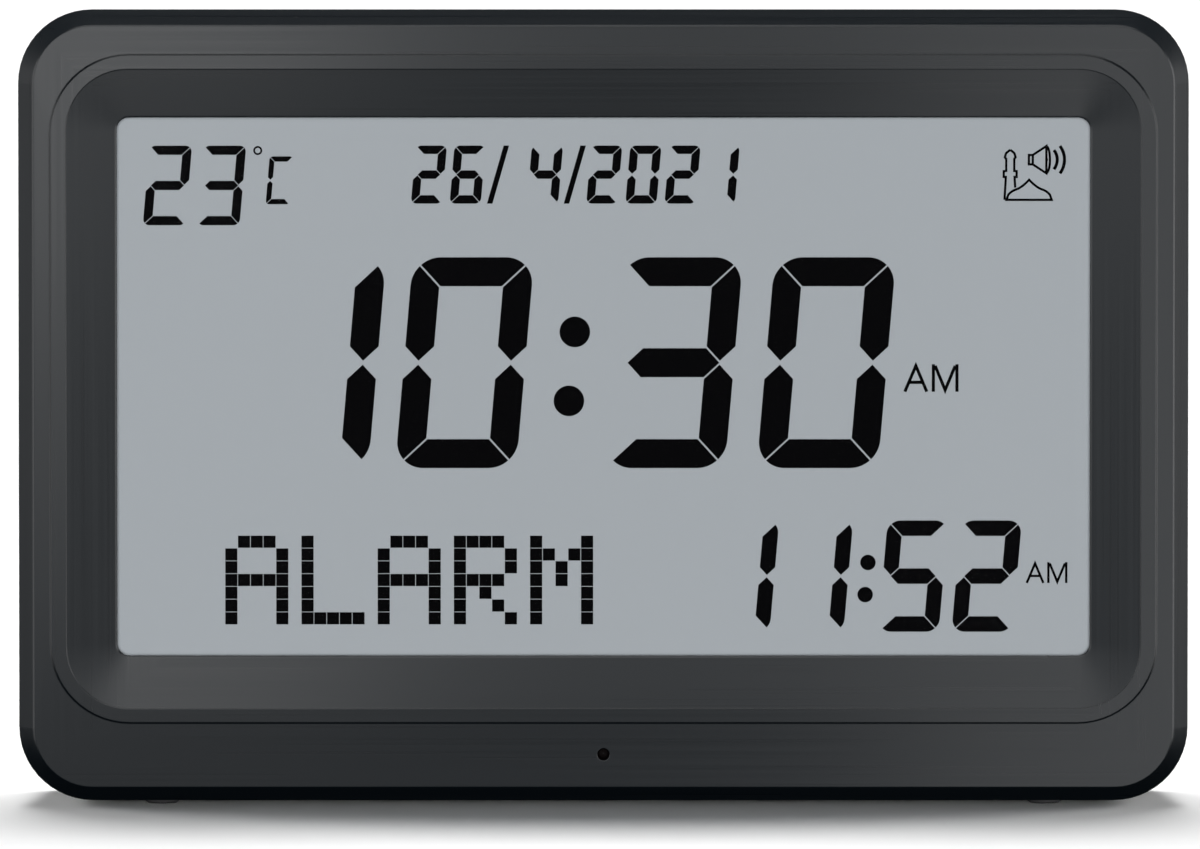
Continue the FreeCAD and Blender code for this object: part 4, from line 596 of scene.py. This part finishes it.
# Each finish: colour, roughness and grain. A grain is its size and depth in millimetres, then
# how far the roughness and, where it does, the shade vary with it.
FINISHES = {
    "display_ink": ((0.001, 0.001, 0.0015), 0.7, (0.2, 0.001, 0.03)),
    "cover": ((0.016, 0.016, 0.018), 0.5, (0.35, 0.02, 0.05)),
    "lens": ((0.02, 0.02, 0.02), 0.12, (4, 0.0005, 0.02)),
    "display_ground": ((0.50, 0.54, 0.575), 0.6, (0.15, 0.001, 0.03, 0.02)),
    "display_glass": ((0.6, 0.66, 0.68), 0.05, (3, 0.0005, 0.02)),
    "foam": ((0.02, 0.02, 0.02), 0.9, (0.3, 0.05, 0.05, 0.3)),
    "contact_strip": ((0.5, 0.17, 0.19), 0.6, (0.2, 0.01, 0.05, 0.2)),
    "white_plastic": ((0.68, 0.68, 0.66), 0.5, (0.5, 0.005, 0.06, 0.04)),
    "board": ((0.015, 0.13, 0.06), 0.35, (0.6, 0.003, 0.05)),
    "chip": ((0.018, 0.018, 0.02), 0.5, (0.15, 0.004, 0.08, 0.15)),
    "steel": ((0.55, 0.56, 0.57), 0.32, (0.12, 0.003, 0.08, 0.06)),
    "nickel": ((0.72, 0.70, 0.66), 0.2, (0.2, 0.002, 0.06, 0.05)),
    "capacitor_sleeve": ((0.02, 0.04, 0.14), 0.4, (0.4, 0.002, 0.06, 0.1)),
    "sensor": ((0.004, 0.003, 0.003), 0.2, (0.5, 0.001, 0.05, 0.2)),
    "rubber": ((0.018, 0.018, 0.019), 0.75, (0.3, 0.02, 0.06, 0.15)),
    "cone": ((0.03, 0.03, 0.032), 0.85, (0.5, 0.03, 0.05, 0.25)),
    "keys": ((0.09, 0.092, 0.098), 0.45, (0.3, 0.01, 0.05, 0.06)),
    "plunger": ((0.75, 0.75, 0.72), 0.5, (0.4, 0.004, 0.05, 0.04)),
    "ribbon": ((0.45, 0.46, 0.48), 0.5, (0.3, 0.01, 0.06, 0.12)),
    "lead": ((0.4, 0.02, 0.02), 0.4, (0.4, 0.004, 0.06, 0.15)),
}
# What some finishes have besides.
SPECIAL = {
    "display_ink": {"specular": 0.0},
    "lens": {"specular": 0.08, "alpha": 0.05},
    "display_ground": {"specular": 0.1},
    "display_glass": {"alpha": 0.3},
    "steel": {"metallic": 1},
    "nickel": {"metallic": 1},
    "sensor": {"specular": 0.2},
}
# The nodes that have each finish.
WEARERS = {
    "cover": ("rear_cover", "battery_door", "stand_leg"),
    "lens": ("display_lens",),
    "display_ground": ("front_polariser", "lcd_reflector"),
    "display_glass": ("lcd_front_glass", "lcd_rear_glass"),
    "foam": ("lens_gasket", "speaker_gasket"),
    "contact_strip": ("elastomer_strip",),
    "white_plastic": ("lcd_retainer", "board_connectors"),
    "board": ("main_board", "key_board", "sensor_board"),
    "chip": (
        "processor_chip",
        "board_chips",
        "switch_bodies",
        "selector_switch",
        "speaker_magnet",
    ),
    "steel": (
        "board_screws",
        "case_screws",
        "key_board_screws",
        "speaker_screws",
        "stand_pin",
        "speaker_basket",
    ),
    "nickel": ("clock_crystal", "battery_plates", "battery_springs"),
    "capacitor_sleeve": ("board_capacitors",),
    "sensor": ("light_sensor",),
    "rubber": ("sensor_sleeve", "stand_pad", "feet"),
    "cone": ("speaker_cone",),
    "keys": ("selector_knob", *["button_" + name for name in BUTTONS]),
    "plunger": tuple("plunger_" + name for name in BUTTONS),
    "ribbon": ("key_ribbon", "sensor_ribbon"),
    "lead": ("battery_leads", "speaker_leads"),
}


def finish(name):
    """One of the listed finishes as a material."""
    colour, roughness, pattern = FINISHES[name]
    return grain(material(name, colour, roughness, **SPECIAL.get(name, {})), *pattern)


INK = finish("display_ink")


def finishes():
    """Gives every node of the model its finish."""
    bezel = brushed(material("bezel", BEZEL_COLOUR, BEZEL_ROUGHNESS))
    dress(rounded(bezel, BEZEL_EDGE), "front_bezel")
    for name, nodes in WEARERS.items():
        made = finish(name)
        if name == "board":
            circuit(made)
        dress(made, *nodes)
    for name, way in CELLS.items():
        cell_label(name, way)


def soft_box(name, place, aim, size, level):
    """A glowing panel of that brightness, which shows in the gloss only."""
    lamp = bpy.data.lights.new(name, "AREA")
    lamp.shape = "RECTANGLE"
    lamp.size, lamp.size_y = size
    lamp.energy = level * math.pi * size[0] * size[1]
    held = bpy.data.objects.new(name, lamp)
    held.location = place
    held.rotation_euler = (Vector(aim) - Vector(place)).to_track_quat("-Z", "Y").to_euler()
    held.visible_camera = False
    held.visible_diffuse = False
    bpy.context.scene.collection.objects.link(held)


FLOOR_SIZE, FLOOR_COLOUR, FLOOR_ROUGHNESS, FLOOR_SPECULAR = 60, (0.86, 0.86, 0.86), 0.7, 0.1
# How bright the surround is, by the height of the direction: from straight down to straight up.
SURROUND = ((-1.0, 0.0), (-0.12, 0.02), (0.02, 0.36), (0.4, 0.20), (1.0, 0.08))
SURROUND_TINT = (0.97, 0.985, 1)
# The even lights: where each comes from, its strength, and how wide it is in degrees.
SUNS = {
    "overhead": ((0, 0.36, 1.0), 3.0, 26),
    "fill": ((0, -1.0, 0.06), 2.72, 20),
    "left_behind": ((-1.0, 0.5, 0.45), 2.0, 30),
    "right_behind": ((1.0, 0.5, 0.45), 2.0, 30),
}
# The soft boxes close in front: left, right, low and high sides, and brightness.
BOX_DISTANCE = 0.20
FRONT_BOXES = (
    (-0.22, -0.05, -0.26, 0.02, 0.46),
    (-0.22, -0.05, 0.02, 0.085, 1.2),
    (-0.22, -0.05, 0.085, 0.30, 2.45),
    (-0.05, 0.06, -0.26, 0.085, 0.38),
    (-0.05, 0.06, 0.085, 0.24, 0.72),
    (0.06, 0.24, -0.26, 0.24, 1.4),
)
# Panels beside and above, for the light along the edges: place, what each faces, size and
# brightness.
STRIPS = (
    ((-0.36, -0.125, 0.09), (0, -0.125, 0.09), (0.27, 0.30), 1.9),
    ((0.36, -0.125, 0.09), (0, -0.125, 0.09), (0.27, 0.30), 3.0),
    ((0, -0.17, 0.50), (0, -0.17, 0), (0.50, 0.28), 2.2),
    ((-0.7, 0.2, 0.1), (0, 0, 0.1), (0.5, 0.3), 0.22),
    ((0.7, 0.2, 0.1), (0, 0, 0.1), (0.5, 0.3), 0.45),
)


def floor():
    """A pale floor, which lights nothing itself, so that the underside stays dark."""
    bpy.ops.mesh.primitive_plane_add(size=FLOOR_SIZE)
    ground = bpy.context.object
    ground.name = "floor"
    made = material("floor", FLOOR_COLOUR, FLOOR_ROUGHNESS, specular=FLOOR_SPECULAR)
    ground.data.materials.append(made)
    ground.visible_glossy = False
    ground.visible_diffuse = False
    ground.visible_shadow = False


def surround():
    """A dim surround, lightest at the horizon and dark below it."""
    world = bpy.data.worlds.new("surround")
    world.use_nodes = True
    tree = world.node_tree
    where = add(tree, "TexCoord", {}).outputs["Generated"]
    parts = add(tree, "SeparateXYZ", {"Vector": where})
    spread = add(tree, "MapRange", {"From Min": -1, "Value": parts.outputs["Z"]})
    ramp = add(tree, "ValToRGB", {"Fac": spread.outputs["Result"]})
    marks = ramp.color_ramp.elements
    while len(marks) < len(SURROUND):
        marks.new(0.5)
    for mark, (height, level) in zip(marks, SURROUND):
        mark.position = (height + 1) / 2
        mark.color = (*[level * part for part in SURROUND_TINT], 1)
    tree.links.new(ramp.outputs["Color"], tree.nodes["Background"].inputs["Color"])
    bpy.context.scene.world = world
    world.cycles_visibility.diffuse = False


def sun(name, source, strength, spread):
    """Even light from far away, which doesn't show in the gloss."""
    lamp = bpy.data.lights.new(name, "SUN")
    lamp.energy = strength
    lamp.angle = math.radians(spread)
    held = bpy.data.objects.new(name, lamp)
    held.rotation_euler = Vector(source).to_track_quat("Z", "Y").to_euler()
    held.visible_glossy = False
    bpy.context.scene.collection.objects.link(held)


def studio():
    """A floor, a dim surround, even light from four sides, and panels that show in the gloss."""
    floor()
    surround()
    for name, (source, strength, spread) in SUNS.items():
        sun(name, source, strength, spread)
    for i, (left, right, low, high, level) in enumerate(FRONT_BOXES):
        across, up = (left + right) / 2, (low + high) / 2
        size = (right - left, high - low)
        soft_box(f"front_box_{i}", (across, -BOX_DISTANCE, up), (across, 0, up), size, level)
    for i, (place, aim, size, level) in enumerate(STRIPS):
        soft_box(f"strip_{i}", place, aim, size, level)


# The camera: a long lens a little above the clock. The scale is a pixel's width in millimetres at
# the aim, whose place is in millimetres. The elevation is in degrees and the distance in metres.
IMAGE_WIDTH = 1200
SCALE = 0.19221
AIM = (-0.66, -17.0, 73.85)
ELEVATION = 5.0
DISTANCE = 5.0
SENSOR_WIDTH = 36
FARTHEST = 100


def camera():
    lens = bpy.data.cameras.new("camera")
    held = bpy.data.objects.new("camera", lens)
    bpy.context.scene.collection.objects.link(held)
    aim = Vector([part * MM for part in AIM])
    tilt = math.radians(ELEVATION)
    held.location = aim + Vector((0, -math.cos(tilt), math.sin(tilt))) * DISTANCE
    held.rotation_euler = (math.radians(90) - tilt, 0, 0)
    lens.sensor_width = SENSOR_WIDTH
    lens.lens = SENSOR_WIDTH * DISTANCE / (IMAGE_WIDTH * SCALE * MM)
    lens.clip_end = FARTHEST
    bpy.context.scene.camera = held


def colours():
    view = bpy.context.scene.view_settings
    view.view_transform = "Standard"
    view.look = "None"


finishes()
show_time()
show_temperature()
show_date()
show_word()
show_next_time()
show_icon()
studio()
camera()
colours()
